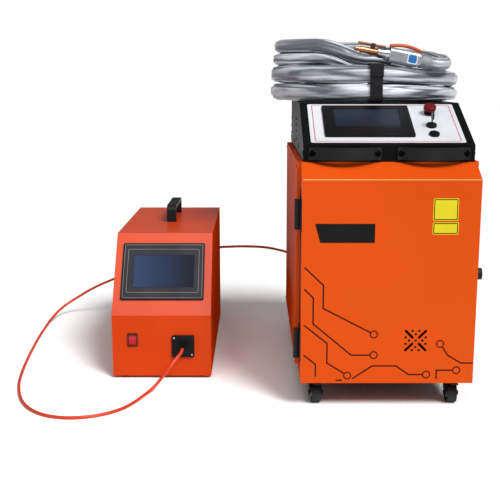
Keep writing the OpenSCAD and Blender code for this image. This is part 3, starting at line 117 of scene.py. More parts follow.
# Where a pattern lies: the piece's own coordinates in metres, or its UV map
def patternPlace(material, scale=(1, 1, 1), source="Object"):
    coords = addNode(material, "ShaderNodeTexCoord")
    return addNode(material, "ShaderNodeMapping", {"Scale": scale},
                   {"Vector": coords.outputs[source]}).outputs["Vector"]


# Colour drifts between two tones in clouds of this size, mm
def twoTone(material, shader, place, low, high, size):
    cloud = addNode(material, "ShaderNodeTexNoise", {"Scale": 1000 / size, "Detail": 3.0},
                    {"Vector": place})
    addNode(material, "ShaderNodeValToRGB", {"stops": [(0.35, low), (0.65, high)]},
            {"Fac": cloud.outputs["Fac"]}, {"Color": shader.inputs["Base Color"]})


# Roughness drifts between two values in clouds of this size, mm
def roughSpread(material, shader, place, rough, size):
    cloud = addNode(material, "ShaderNodeTexNoise", {"Scale": 1000 / size, "Detail": 4.0},
                    {"Vector": place})
    addNode(material, "ShaderNodeMapRange", {"To Min": rough[0], "To Max": rough[1]},
            {"Value": cloud.outputs["Fac"]}, {"Result": shader.inputs["Roughness"]})


# How the three families of surface are made: sizes of their tone and gloss clouds in mm, how
# fine their grain is, and how many times wider than real it is drawn so that it shows
powderMade = {"toneSize": 420, "glossSize": 60, "detail": 2.0, "widen": 1}
mouldedMade = {"toneSize": 90, "glossSize": 25, "detail": 3.0, "widen": 1}
brushedMade = {"toneSize": 60, "glossSize": 20, "detail": 4.0, "widen": 8}


def dressSurface(material, shader, low, high, grain, rough, depth, made, stretch=(1, 1, 1)):
    place = patternPlace(material, stretch)
    twoTone(material, shader, place, low, high, made["toneSize"])
    roughSpread(material, shader, place, rough, made["glossSize"])
    scale = 1000 / grain / made["widen"]
    texture = addNode(material, "ShaderNodeTexNoise", {"Scale": scale, "Detail": made["detail"]},
                      {"Vector": place})
    addNode(material, "ShaderNodeBump", {"Distance": depth / 1000, "Strength": 1.0},
            {"Height": texture.outputs["Fac"]}, {"Normal": shader.inputs["Normal"]})
    return material


# Polyester powder coat, sprayed and baked: even colour with a fine orange peel
def powderCoat(name, low, high, grain=1.6, rough=(0.36, 0.46), depth=0.03, shine=0.15):
    material, shader = newMaterial(name, high, {"Specular IOR Level": shine, "IOR": 1.5})
    return dressSurface(material, shader, low, high, grain, rough, depth, powderMade)


# Moulded ABS or nylon: spark eroded grain, slightly uneven gloss
def mouldedPlastic(name, low, high, grain=0.9, rough=(0.42, 0.56), depth=0.05, shine=0.25):
    material, shader = newMaterial(name, high, {"Specular IOR Level": shine, "IOR": 1.53})
    return dressSurface(material, shader, low, high, grain, rough, depth, mouldedMade)


# Turned or brushed metal: fine lines across the stretched direction
def brushedMetal(name, low, high, stretch=(1, 1, 30), grain=1.2, rough=(0.25, 0.4), depth=0.02):
    material, shader = newMaterial(name, high, {"Metallic": 1.0})
    return dressSurface(material, shader, low, high, grain, rough, depth, brushedMade, stretch)


# A point's place along one axis of the frame, in metres
def alongAxis(material, axis):
    place = patternPlace(material)
    return addNode(material, "ShaderNodeSeparateXYZ", {}, {"Vector": place}).outputs[axis]


# 1 past a limit along one axis of the frame, in metres, and 0 before it
def beyond(material, axis, limit):
    return addNode(material, "ShaderNodeMath", {"operation": "GREATER_THAN", 1: limit},
                   {0: alongAxis(material, axis)}).outputs["Value"]


# The feeder's flanks come out of the booth dull, its front satin, its slope and top glossy
feederSheen = {"left": -769.5, "right": -480.5, "front": 241.5, "frontLevel": 0.06, "topLevel": 0.34}


def addFeederSheen(material):
    s = feederSheen
    corner = at(s["left"], s["front"], 0)
    level = addNode(material, "ShaderNodeMapRange",
                    {"To Min": s["frontLevel"], "To Max": s["topLevel"]},
                    {"Value": beyond(material, "Y", corner.y)})
    inside = addNode(material, "ShaderNodeMath", {"operation": "SUBTRACT"},
                     {0: beyond(material, "X", corner.x),
                      1: beyond(material, "X", at(s["right"], 0, 0).x)})
    addNode(material, "ShaderNodeMath", {"operation": "MULTIPLY"},
            {0: level.outputs["Result"], 1: inside.outputs["Value"]},
            {"Value": shaderOf(material).inputs["Specular IOR Level"]})


# A tall flank is dull below and gains a little sheen with height, mm
flankSheen = {"low": 240, "high": 620, "most": 0.02}


def addFlankSheen(material):
    s = flankSheen
    span = {"From Min": s["low"] / 1000, "From Max": s["high"] / 1000, "To Max": s["most"]}
    addNode(material, "ShaderNodeMapRange", span, {"Value": alongAxis(material, "Z")},
            {"Result": shaderOf(material).inputs["Specular IOR Level"]})


# Under the cabinet's tray the colour is darkened to near black as painted shade; its height in mm
trayUnderShade = {"top": 72.5, "level": 0.02}


def addTrayUnderShade(material):
    s = trayUnderShade
    colour = shaderOf(material).inputs["Base Color"]
    level = addNode(material, "ShaderNodeMapRange", {"To Min": s["level"], "To Max": 1.0},
                    {"Value": beyond(material, "Z", s["top"] / 1000)})
    addNode(material, "ShaderNodeVectorMath", {"operation": "SCALE"},
            {0: colour.links[0].from_socket, "Scale": level.outputs["Result"]}, {"Vector": colour})


# Acrylic or glass over a dark display: a slow blue painted reflection along one axis of the panel
def glassWithPaintedReflection(name, low, high, start, end, axis="Z"):
    material, shader = newMaterial(name, high, {"Roughness": 0.24, "IOR": 1.49,
                                                "Specular IOR Level": 0.1})
    cloud = addNode(material, "ShaderNodeTexNoise", {"Scale": 1000 / 160, "Detail": 1.0},
                    {"Vector": patternPlace(material)})
    # The cloud pushes the painted reflection's edge up to 30 mm out of line
    mixed = addNode(material, "ShaderNodeMath", {"operation": "MULTIPLY_ADD", 1: 0.03},
                    {0: cloud.outputs["Fac"], 2: alongAxis(material, axis)})
    span = addNode(material, "ShaderNodeMapRange", {"From Min": start, "From Max": end},
                   {"Value": mixed.outputs["Value"]})
    addNode(material, "ShaderNodeValToRGB", {"stops": [(0.0, low), (1.0, high)]},
            {"Fac": span.outputs["Result"]}, {"Color": shader.inputs["Base Color"]})
    return material


# Silver coated nylon cloth: light falls along its lengthwise creases, and painted shade darkens them
# inside
def sleeveNylon():
    material, shader = newMaterial("silverCoatedNylon", "#A2A6AE", {
        "Metallic": 0.08, "Sheen Weight": 0.15, "Sheen Roughness": 0.4, "IOR": 1.5,
        "Specular IOR Level": 0.5})
    place = patternPlace(material, source="UV")
    stretched = addNode(material, "ShaderNodeMapping", {"Scale": (5.0, 3.0, 1.0)},
                        {"Vector": place}).outputs["Vector"]
    # Painted shade: the cloth darkens with each fold's depth, over a random tone cloud
    creaseShade = addNode(material, "ShaderNodeAttribute", {"attribute_name": "creaseShade"})
    cloud = addNode(material, "ShaderNodeTexNoise", {"Scale": 1.2, "Detail": 3.0},
                    {"Vector": stretched})
    shade = addNode(material, "ShaderNodeMath", {"operation": "MULTIPLY_ADD", 1: 0.5},
                    {0: cloud.outputs["Fac"], 2: creaseShade.outputs["Fac"]})
    addNode(material, "ShaderNodeValToRGB", {"stops": [(0.42, "#CCD0D7"), (1.0, "#5A5E66")]},
            {"Fac": shade.outputs["Value"]}, {"Color": shader.inputs["Base Color"]})
    roughSpread(material, shader, place, (0.34, 0.46), 125)
    wrinkles = addNode(material, "ShaderNodeTexNoise",
                       {"Scale": 1.4, "Detail": 3.5, "Roughness": 0.5}, {"Vector": stretched})
    wrinkleBump = addNode(material, "ShaderNodeBump", {"Distance": 0.008, "Strength": 0.9},
                          {"Height": wrinkles.outputs["Fac"]})
    # Threads of 0.4 mm are drawn every 5 mm so that they show
    weave = addNode(material, "ShaderNodeTexWave",
                    {"Scale": 60.0, "Distortion": 0.6, "bands_direction": "Y"}, {"Vector": place})
    addNode(material, "ShaderNodeBump", {"Distance": 0.00006, "Strength": 0.6},
            {"Height": weave.outputs["Fac"], "Normal": wrinkleBump.outputs["Normal"]},
            {"Normal": shader.inputs["Normal"]})
    return material


# Woven polyester strap: dull black with ribs across the band
def webbing(name, low, high):
    material, shader = newMaterial(name, high, {"Roughness": 0.85, "Sheen Weight": 0.06,
                                                "Sheen Roughness": 0.6, "Specular IOR Level": 0.15})
    place = patternPlace(material)
    twoTone(material, shader, place, low, high, 18)
    # Ribs of 2.4 mm are drawn every 4.7 mm so that they show
    ribs = addNode(material, "ShaderNodeTexWave",
                   {"Scale": 66.3482, "bands_direction": "Z", "Distortion": 1.0}, {"Vector": place})
    addNode(material, "ShaderNodeBump", {"Distance": 0.0004, "Strength": 1.0},
            {"Height": ribs.outputs["Fac"]}, {"Normal": shader.inputs["Normal"]})
    return material


# Powder coat: the door and rear are an even orange that hardly shines
orangePaint = powderCoat("orangePowderCoat", "#BC4208", "#C3470A", shine=0.07)
# Round the door's top bend a lighter orange rod stands for the bright line: a painted highlight
bendHighlightPaint = powderCoat("bendPaintedHighlight", "#E8843C", "#F09650", shine=0.5)
# The side covers and the frame are a duller batch; the tray's underside is painted shade
sidePaint = powderCoat("sidePowderCoat", "#C8481A", "#D25022", 1.6, (0.5, 0.6), shine=0.0)
addFlankSheen(sidePaint)
framePaint = powderCoat("framePowderCoat", "#C8481A", "#D25022", 1.6, (0.5, 0.6), shine=0.0)
addTrayUnderShade(framePaint)
# The feeder's coat is redder and glossier on its slope and top
feederPaint = powderCoat("feederPowderCoat", "#B8380A", "#C03E10", 1.6, (0.3, 0.36), shine=0.16)
addFeederSheen(feederPaint)
# Textured black coat of the console: deep black, fine sandy grain
blackPaint = powderCoat("blackTexturedCoat", "#040405", "#08090A", 1.4, (0.42, 0.55), 0.09, 0.09)
# Black coated fasteners, hinges and casters: dark grey, satin
blackSteel = powderCoat("blackCoatedSteel", "#15161A", "#232529", 1.2, (0.35, 0.5), 0.05)

# Polyester label film: pale and smooth, only its tone drifts a little
labelFilm, labelShader = newMaterial("polyesterLabelFilm", "#CACCD0", {
    "Roughness": 0.3, "IOR": 1.57, "Specular IOR Level": 0.3})
twoTone(labelFilm, labelShader, patternPlace(labelFilm), "#B8BABF", "#C2C4C9", 120)

# Screen printed inks and vinyl films: flat colour with next to no grain
roseInk = mouldedPlastic("rosePrintedLine", "#9E2A30", "#AE383C", 1.0, (0.35, 0.45), 0.01)
maroonInk = mouldedPlastic("maroonScreenPrint", "#2E0604", "#3A0A07", 1.0, (0.4, 0.5), 0.01, 0.1)
# The black ink also draws the painted shade of the feeder's side slot
blackInkAndShade = mouldedPlastic("blackScreenPrintAndShade", "#090809", "#0F0E0F", 1.0, (0.4, 0.5), 0.01, 0.12)
beigeInk = mouldedPlastic("beigePrintedLine", "#6E675F", "#7C746A", 1.0, (0.35, 0.45), 0.01)
bluePrint = mouldedPlastic("bluePrintedFilm", "#14508A", "#2466A0", 1.2, (0.3, 0.4), 0.01)
yellowFilm = mouldedPlastic("yellowVinylFilm", "#BEB00A", "#C8BA12", 1.0, (0.32, 0.42), 0.01)

# Black mouldings, from dull nylon to the smooth acrylic of the bezels
blackPlastic = mouldedPlastic("blackNylon", "#0C0D0E", "#141517", shine=0.18)
# Near-black discs over the handles' screw recesses: painted shade
paintedRecessShade = mouldedPlastic("paintedRecessShade", "#020203", "#040405", shine=0.02)
softBlack = mouldedPlastic("blackSoftGrip", "#0C0D0E", "#141517", 1.4, (0.46, 0.58), 0.08, 0.2)
bezelPlastic = mouldedPlastic("bezelAcrylic", "#060607", "#0A0A0C", 1.0, (0.3, 0.36), 0.005, 0.12)
feederBezel = mouldedPlastic("feederBezelAcrylic", "#202126", "#2A2B31", 1.0, (0.3, 0.36), 0.005, 0.1)
tyreRubber = mouldedPlastic("thermoplasticRubber", "#18191A", "#242527", 1.2, (0.55, 0.7), 0.1)

# Display glass with a painted reflection: the console's brightens upwards, the feeder's darkens to the
# right. Metres
consoleGlass = glassWithPaintedReflection("consoleDisplayGlass", "#0E121A", "#1E2532", 0.74, 0.79)
feederGlass = glassWithPaintedReflection("feederDisplayGlass", "#223454", "#0A1020", -0.43, -0.27, "X")

# Coloured mouldings and hoses: red rocker and stop button, milky tank, grey grip, orange tubes
redPlastic = mouldedPlastic("redPolycarbonate", "#960A10", "#AE1218", 1.0, (0.22, 0.32), 0.02, 0.4)
stopRed = mouldedPlastic("stopRedNylon", "#56050A", "#68080E", 1.0, (0.3, 0.4), 0.02, 0.16)
darkRed = mouldedPlastic("darkRedNylon", "#420406", "#500608", 1.0, (0.3, 0.4), 0.02)
tankPlastic = mouldedPlastic("naturalPolyethylene", "#A6AAAD", "#BABEC0", 1.5, (0.45, 0.55), 0.05)
greyGrip = mouldedPlastic("greyOvermould", "#63666B", "#909398", 2.0, (0.45, 0.6), 0.3)
conduitPlastic = mouldedPlastic("orangePolyurethane", "#B4300F", "#C23A18", 1.2, (0.32, 0.44), 0.03)
hosePlastic = mouldedPlastic("orangeHose", "#A2401C", "#B04C26", 1.2, (0.32, 0.44), 0.03)

# Metals: plated and milled ones show faint lines, turned ones are even and bright
zincSteel = brushedMetal("zincPlatedSteel", "#9DA0A4", "#C2C5C8")
plainAlloy = brushedMetal("millAluminium", "#8C9096", "#B5B9BD", (1, 30, 1), 1.6, (0.3, 0.45))
grindSteel = brushedMetal("turnedSteel", "#8E9297", "#D0D3D6", (1, 1, 1), 1.0, (0.18, 0.34))
darkSteel = brushedMetal("burnishedSteel", "#1E2023", "#3A3C40", (1, 1, 1), 1.0, (0.28, 0.4))
castAlloy = brushedMetal("beadBlastedAluminium", "#868A90", "#A9ADB3", (1, 1, 1), 1.1, (0.38, 0.52),
                         0.05)
copperDark = brushedMetal("tarnishedCopper", "#4A2A1E", "#8A5A42", (1, 1, 1), 1.0, (0.3, 0.45))
copperMetal = brushedMetal("drawnCopper", "#9A5638", "#C98A66", (1, 1, 1), 1.0, (0.22, 0.38))
brassMetal = brushedMetal("turnedBrass", "#A98238", "#D8B468", (1, 1, 1), 1.0, (0.22, 0.34))

sleeveCloth = sleeveNylon()
strapCloth = webbing("blackHookAndLoopStrap", "#101013", "#1A1A1E")
print("materials made")


def meshObject(bm, name, material):
    mesh = bpy.data.meshes.new(name)
    bm.to_mesh(mesh)
    bm.free()
    mesh.materials.append(material)
    return newObject(name, mesh)


# A finished piece from its bmesh; smooth is the angle, in degrees, over which an edge is sharp
def fromBmesh(bm, name, material, body="machine", smooth=0):
    piece = meshObject(bm, name, material)
    if smooth:
        piece.data.shade_smooth()
        piece.data.set_sharp_from_angle(angle=math.radians(smooth))
    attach(piece, body)
    return piece


def tidied(bm):
    bmesh.ops.remove_doubles(bm, verts=bm.verts, dist=1e-6)
    bmesh.ops.recalc_face_normals(bm, faces=bm.faces)
    return bm


# A flat face to draw on: its origin, its right and its up, with the third axis out of it
def flatFrame(origin, right, up=(0, 0, 1)):
    right, up = Vector(right).normalized(), Vector(up).normalized()
    out = right.cross(up)
    return Matrix(((right.x, up.x, out.x, origin.x), (right.y, up.y, out.y, origin.y),
                   (right.z, up.z, out.z, origin.z), (0, 0, 0, 1)))


# The faces that pieces lie on; a slope's up is its depth and its rise
doorFace = flatFrame(at(0, 0, 0), (1, 0, 0))
panelFace = flatFrame(at(0, 70, 700), (1, 0, 0), (0, 215, 103))
feederFace = flatFrame(at(-625, 241, 0), (1, 0, 0))
feederPanel = flatFrame(at(-625, 241, 191), (1, 0, 0), (0, 160, 217))


def circle(radius, steps, x=0, y=0):
    turns = [2 * math.pi * n / steps for n in range(steps)]
    return [(x + radius * math.cos(a), y + radius * math.sin(a)) for a in turns]


def roundedBox(x0, y0, x1, y1, radius, steps=5):
    points = []
    for cx, cy, turn in ((x1 - radius, y1 - radius, 0), (x0 + radius, y1 - radius, 90),
                         (x0 + radius, y0 + radius, 180), (x1 - radius, y0 + radius, 270)):
        for n in range(steps + 1):
            a = math.radians(turn + 90 * n / steps)
            points.append((cx + radius * math.cos(a), cy + radius * math.sin(a)))
    return points


# Lays an outline, [right, up] in mm, on a face at a height and returns its sheet
def laySheet(bm, face, outline, height):
    return bm.faces.new([bm.verts.new(face @ Vector((x / 1000, y / 1000, height / 1000)))
                         for x, y in outline])


def raiseSheet(bm, face, sheets, rise):
    grown = bmesh.ops.extrude_face_region(bm, geom=sheets)
    moved = [v for v in grown["geom"] if isinstance(v, bmesh.types.BMVert)]
    step = (face.to_3x3() @ Vector((0, 0, 1))) * (rise / 1000)
    bmesh.ops.translate(bm, vec=step, verts=moved)


# A plate from its outline, standing off the face from low to high
def addPlate(bm, face, outline, low, high):
    raiseSheet(bm, face, [laySheet(bm, face, outline, low)], high - low)


# A plate that is a piece of its own
def makePlate(name, face, outline, low, high, material, body="machine"):
    bm = bmesh.new()
    addPlate(bm, face, outline, low, high)
    fromBmesh(tidied(bm), name, material, body)


# A closed line of even width: the outline's inside is inset and its middle taken away
def addFrameLine(bm, face, outline, width, low, high):
    sheet = laySheet(bm, face, outline, low)
    bm.normal_update()
    ring = bmesh.ops.inset_region(bm, faces=[sheet], thickness=width / 1000, use_even_offset=True,
                                  use_boundary=True)["faces"]
    bmesh.ops.delete(bm, geom=[sheet], context="FACES_ONLY")
    raiseSheet(bm, face, ring, high - low)


# A disc or a low cone standing on a face at [right, up], mm
def addDisc(bm, face, right, up, radius, low, high, segments, topRadius=None):
    place = face @ Matrix.Translation((right / 1000, up / 1000, (low + high) / 2000))
    bmesh.ops.create_cone(bm, cap_ends=True, segments=segments, radius1=radius / 1000,
                          radius2=(radius if topRadius is None else topRadius) / 1000,
                          depth=(high - low) / 1000, matrix=place)


# Screw heads or recesses at these spots of a face; top is their top's share of the radius
def addHeads(bm, face, spots, screw):
    for right, up in spots:
        addDisc(bm, face, right, up, screw["radius"], screw["low"], screw["high"],
                screw["segments"], screw["radius"] * screw["top"])


# Display glass laid into its bezel, a hair under the bezel's face
glassSet = {"gap": 0.5, "corner": 2, "back": 0.9, "under": 0.2}


def makeGlass(name, face, glass, proud, material):
    s = glassSet
    x, y, wide, high = glass
    halfWide, halfHigh = wide / 2 - s["gap"], high / 2 - s["gap"]
    outline = roundedBox(x - halfWide, y - halfHigh, x + halfWide, y + halfHigh, s["corner"])
    makePlate(name, face, outline, proud - s["back"], proud - s["under"], material)


# Where the gun lies on the coil: its body's middle, pitch and turn in degrees, its length
gunSeat = {"place": (75.5, 333.5, 928), "pitch": 10.5, "turn": 188.6, "length": 96}

# The umbilical's sleeve follows its solid: out of the console's top, four loops round and on to
# the gun's tail. The tables have one value at every eighth of a turn: the height of its middle
# and its thickness as shares of height, and how far it is set in as a share of width
umbilical = {
    "width": 56.0, "height": 50.0, "sides": 56, "squareness": 0.7, "swell": 3.2,
    "halfLong": 258.0, "halfDeep": 192.0, "middle": (-16.0, 520.0, 806.0),
    "loops": 4, "perLoop": 132,
    "levels": [0.44, 0.42, 0.41, 0.45, 0.51, 0.51, 0.51, 0.51, 1.56, 1.4, 1.24, 1.34, 1.55, 1.56,
               1.56, 1.56, 1.52, 0.92, 0.4, 0.72, 1.5, 2.44, 2.45, 2.45, 2.44, 1.95, 1.19, 1.6,
               2.4, 3.24, 3.22, 3.21, 3.21, 2.74],
    "thickness": [0.8, 0.78, 0.78, 0.84, 0.98, 0.98, 0.98, 0.98, 1, 0.88, 0.78, 0.86, 1, 1, 1, 1,
                  0.88, 0.76] + [0.72] * 16,
    "insets": [0] * 15 + [0.9, 1.07, 1.1, 1.12, 1.12, 1.12, 0.85, 0.1, 0.5, 1.05, 1.12, 1.15, 1.15,
                          1.12, 0.85, 0.15, 0.5, 0.8, 0.6],
    "outlet": (-145.0, 756.0), "outletStub": 20, "outletLead": 110, "outletSteps": 20,
    "sleeveRadius": 19, "tail": 30, "tailLead": 70, "tailLift": 12, "tailSteps": 24, "tailGap": 0.5,
}


# A table's value at t, eased between its neighbours
def between(table, t):
    n = int(math.floor(t))
    f = (1 - math.cos(math.pi * (t - n))) / 2
    return table[n] + (table[min(n + 1, len(table) - 1)] - table[n]) * f


# The middle of the sleeve at t eighths of a turn, 45 degrees each
def loopPoint(t):
    s = umbilical
    turn = math.radians(t * 45)
    inset = s["width"] * between(s["insets"], t)
    return Vector(s["middle"]) + Vector(((s["halfLong"] - inset) * math.sin(turn),
                                         (s["halfDeep"] - inset) * math.cos(turn),
                                         s["height"] * between(s["levels"], t)))


def bezier(a, b, c, d, f):
    return a * (1 - f) ** 3 + b * 3 * f * (1 - f) ** 2 + c * 3 * f * f * (1 - f) + d * f ** 3


# The route's points, with the sleeve's width and height at each
def umbilicalRoute():
    s = umbilical
    firstEighth, lastEighth = 1, 1 + 8 * s["loops"]
    outlet = Vector((*s["outlet"], s["middle"][2] + s["height"] * s["levels"][0]))
    first = outlet + Vector((s["outletStub"], 0, 0))
    step = 0.01
    begin = loopPoint(firstEighth)
    along = (loopPoint(firstEighth + step) - loopPoint(firstEighth - step)).normalized()
    lead = s["outletLead"]
    wide, narrow = s["width"], 2 * s["sleeveRadius"]
    route = [(outlet, wide, s["thickness"][0])]
    for n in range(s["outletSteps"]):
        point = bezier(first, first + Vector((lead, 0, 0)), begin - along * lead, begin,
                       n / s["outletSteps"])
        route.append((point, wide, s["thickness"][0]))
    for n in range(s["loops"] * s["perLoop"] + 1):
        t = firstEighth + n * 8 / s["perLoop"]
        route.append((loopPoint(t), wide, between(s["thickness"], t)))
    end = loopPoint(lastEighth)
    last = (end - loopPoint(lastEighth - step)).normalized()
    pitch, turn = math.radians(gunSeat["pitch"]), math.radians(gunSeat["turn"])
    gunWay = Vector((math.cos(turn) * math.cos(pitch), math.sin(turn) * math.cos(pitch),
                     math.sin(pitch)))
    tail = Vector(gunSeat["place"]) - gunWay * (gunSeat["length"] / 2 + s["tail"])
    start = tail - gunWay * s["sleeveRadius"]
    lead = s["tailLead"]
    lifted = start - gunWay * lead + Vector((0, 0, s["tailLift"]))
    for n in range(1, s["tailSteps"] + 1):
        f = n / s["tailSteps"]
        point = bezier(end, end + last * lead, lifted, start, f)
        route.append((point, wide + (narrow - wide) * f, s["thickness"][-1]))
    route.append((tail - gunWay * s["tailGap"], narrow, s["thickness"][-1]))
    points, widths, thickness = zip(*route)
    return points, widths, [h * s["height"] for h in thickness]


# A tube of the rings that ringOf gives; its UV map runs once round it and in metres along it
def sweepTube(name, points, ringOf, sides, material):
    bm = bmesh.new()
    layer = bm.loops.layers.uv.new("along")
    rings, runs, run = [], [], 0.0
    for n, p in enumerate(points):
        ahead = (points[min(n + 1, len(points) - 1)] - points[max(n - 1, 0)]).normalized()
        side = ahead.cross(Vector((0, 0, 1))).normalized()
        up = side.cross(ahead)
        if n:
            run += (p - points[n - 1]).length
        runs.append(run)
        rings.append([bm.verts.new(at(*(p + side * x + up * z))) for x, z in ringOf(n, run)])
    for n in range(len(rings) - 1):
        for k in range(sides):
            m = (k + 1) % sides
            facet = bm.faces.new((rings[n][k], rings[n][m], rings[n + 1][m], rings[n + 1][k]))
            corners = ((k, n), (k + 1, n), (k + 1, n + 1), (k, n + 1))
            for loop, (u, v) in zip(facet.loops, corners):
                loop[layer].uv = (u / sides, runs[v] / 1000)
    bm.faces.new(rings[0][::-1])
    bm.faces.new(rings[-1])
    bmesh.ops.recalc_face_normals(bm, faces=bm.faces)
    return fromBmesh(bm, name, material, smooth=180), run / 1000


# The sleeve's folds: how fast each kind changes round it and along it, where its noise starts,
# how deep it goes in mm, and how thin and how sharp its grooves are
folds = {
    "long": {"round": 1.7, "along": 0.0042, "start": (0, 0, 0), "depth": 4.4, "thin": 3, "sharp": 1.3},
    "short": {"round": 2.8, "along": 0.006, "start": (11, 5, 2), "depth": 1.8, "thin": 3.8, "sharp": 1.6},
    "swell": {"round": 1.3, "along": 0.011, "start": (7, 3, 1), "depth": 1.6},
    "bunch": {"round": 1.6, "along": 0.034, "start": (2, 9, 4), "depth": 1.9},
}
# Limits of the folds in mm, how their depth becomes shade, and how many points they fade over
foldLimits = {"dip": 6.5, "stand": 1.4, "shadeFloor": 0.3, "shadeDip": 7, "fadePoints": 10,
              "cornerDip": 0.35, "bunchPower": 6}
# The strap presses strands flat that lie in front of behind and under above, over its reach
strapHold = {"x": -6, "reach": 45, "behind": 400, "above": 900, "calm": 0.7, "press": 1.4}


def wander(kind, c, d, run):
    fold = folds[kind]
    spot = Vector((c * fold["round"], d * fold["round"], run * fold["along"]))
    return noise.noise(spot + Vector(fold["start"]))


# A groove runs where its noise passes through zero
def groove(kind, c, d, run):
    fold = folds[kind]
    near = max(0.0, 1 - abs(wander(kind, c, d, run)) * fold["thin"])
    return fold["depth"] * near ** fold["sharp"]


def heldAt(p):
    h = strapHold
    if p.y >= h["behind"] or p.z >= h["above"]:
        return 0.0
    return max(0.0, 1 - abs(p.x - h["x"]) / h["reach"])


def makeSleeve():
    s, limit = umbilical, foldLimits
    points, widths, heights = umbilicalRoute()
    creaseShades = []

    def ring(n, run):
        out = []
        held = heldAt(points[n])
        fade = min(1.0, min(n, len(points) - 1 - n) / limit["fadePoints"])
        # Where the sleeve bends at the coil's ends its folds bunch up
        atEnd = min(1.0, abs(points[n].x - s["middle"][0]) / s["halfLong"]) ** limit["bunchPower"]
        for k in range(s["sides"]):
            a = 2 * math.pi * k / s["sides"]
            c, d = math.cos(a), math.sin(a)
            x = math.copysign(abs(c) ** s["squareness"], c) * widths[n] / 2
            z = math.copysign(abs(d) ** s["squareness"], d) * (heights[n] / 2 + s["swell"] * (1 - held))
            far = math.hypot(x, z)
            corner = max(0.0, far / math.hypot(c * widths[n] / 2, d * heights[n] / 2) - 1)
            dip = (groove("long", c, d, run) + groove("short", c, d, run)
                   - folds["swell"]["depth"] * wander("swell", c, d, run)
                   + folds["bunch"]["depth"] * atEnd * wander("bunch", c, d, run))
            # Each fold's depth is kept as painted shade for the cloth's colour
            creaseShades.append(max(0.0, min(1.0, limit["shadeFloor"] + dip / limit["shadeDip"])))
            dip = fade * ((1 - strapHold["calm"] * held) * dip + strapHold["press"] * held)
            dip += corner * far * limit["cornerDip"]
            keep = 1 - max(-limit["stand"], min(dip, limit["dip"])) / far
            out.append((x * keep, z * keep))
        return out

    piece, length = sweepTube("umbilicalSleeve", points, ring, s["sides"], sleeveCloth)
    creaseShade = piece.data.attributes.new("creaseShade", "FLOAT", "POINT")
    creaseShade.data.foreach_set("value", creaseShades)
    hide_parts("umbilical_coil")
    print("umbilical sleeve:", round(length, 2), "m")


# The wire conduit: out of the feeder's nozzle, over the floor to the left, round behind the
# feeder and up into the cabinet's rear
conduit = {
    "radius": 4.5, "sides": 16, "step": 9.0,
    "points": [
        (-562, 210, 99), (-562, 198, 99), (-564, 184, 96), (-573, 168, 88), (-588, 152, 72),
        (-609, 140, 46), (-630, 130, 21), (-648, 112, 8), (-663, 80, 4.5), (-680, 35, 4.5),
        (-705, -10, 4.5), (-742, -46, 4.5), (-790, -69, 4.5), (-845, -75, 4.5), (-900, -58, 4.5),
        (-948, -18, 4.5), (-985, 38, 4.5), (-1012, 105, 4.5), (-1035, 190, 4.5), (-1052, 290, 4.5),
        (-1066, 400, 4.5), (-1078, 520, 4.5), (-1088, 640, 4.5), (-1094, 750, 5), (-1093, 830, 11),
        (-1081, 895, 24), (-1056, 937, 42), (-1018, 958, 64), (-970, 964, 92), (-910, 964, 121),
        (-830, 964, 152), (-740, 964, 180), (-620, 964, 216), (-500, 964, 251), (-435, 965, 257),
        (-370, 962, 258), (-310, 948, 257), (-258, 920, 252), (-215, 888, 245), (-184, 858, 238),
        (-170, 838, 236), (-170, 824, 236)],
}


# One smooth curve through all the points, with a new point about every step
def smoothLine(points, step):
    points = [Vector(p) for p in points]
    line = []
    ends = [points[0]] + points + [points[-1]]
    for a, b, c, d in zip(ends, ends[1:], ends[2:], ends[3:]):
        count = max(2, round((c - b).length / step))
        for k in range(count):
            f = k / count
            line.append(0.5 * (2 * b + (c - a) * f + (2 * a - 5 * b + 4 * c - d) * f * f
                               + (3 * b - a - 3 * c + d) * f ** 3))
    return line + [points[-1]]


def makeConduit():
    s = conduit
    line = smoothLine(s["points"], s["step"])
    section = circle(s["radius"], s["sides"])
    piece, length = sweepTube("wireConduit", line, lambda n, run: section, s["sides"], conduitPlastic)
    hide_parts("wire_conduit")
    print("wire conduit:", round(length, 2), "m")


makeSleeve()
makeConduit()


# Strap round the two lower strands: a band, with its free end doubled over the front and top.
# The flap's outline is measured back and up from the band's front and top
strap = {"x0": -24, "x1": 12, "front": 298.8, "back": 359.5, "low": 803.5, "high": 909.9,
         "thick": 1.6, "corner": 12, "cornerSteps": 6, "flapOver": 1.5,
         "flap": [(-3.6, -36), (-1.6, -36), (-1.6, -12), (2.4, -3), (12, 0), (48.7, 0), (48.7, 2),
                  (9.6, 2), (-1.8, -1.2), (-3.6, -10.8)]}


def makeStrap():
    s = strap
    side = flatFrame(at(s["x0"], 0, 0), (0, 1, 0))
    width, top = s["x1"] - s["x0"], s["high"] + s["thick"]
    bm = bmesh.new()
    outline = roundedBox(s["front"] - s["thick"], s["low"], s["back"] + s["thick"], top, s["corner"],
                         s["cornerSteps"])
    addFrameLine(bm, side, outline, s["thick"], 0, width)
    flap = [(s["front"] + back, top + up) for back, up in s["flap"]]
    addPlate(bm, side, flap, -s["flapOver"], width + s["flapOver"])
    piece = fromBmesh(tidied(bm), "strapBand", strapCloth, smooth=40)
    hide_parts("coil_strap")


makeStrap()
print("strap made")
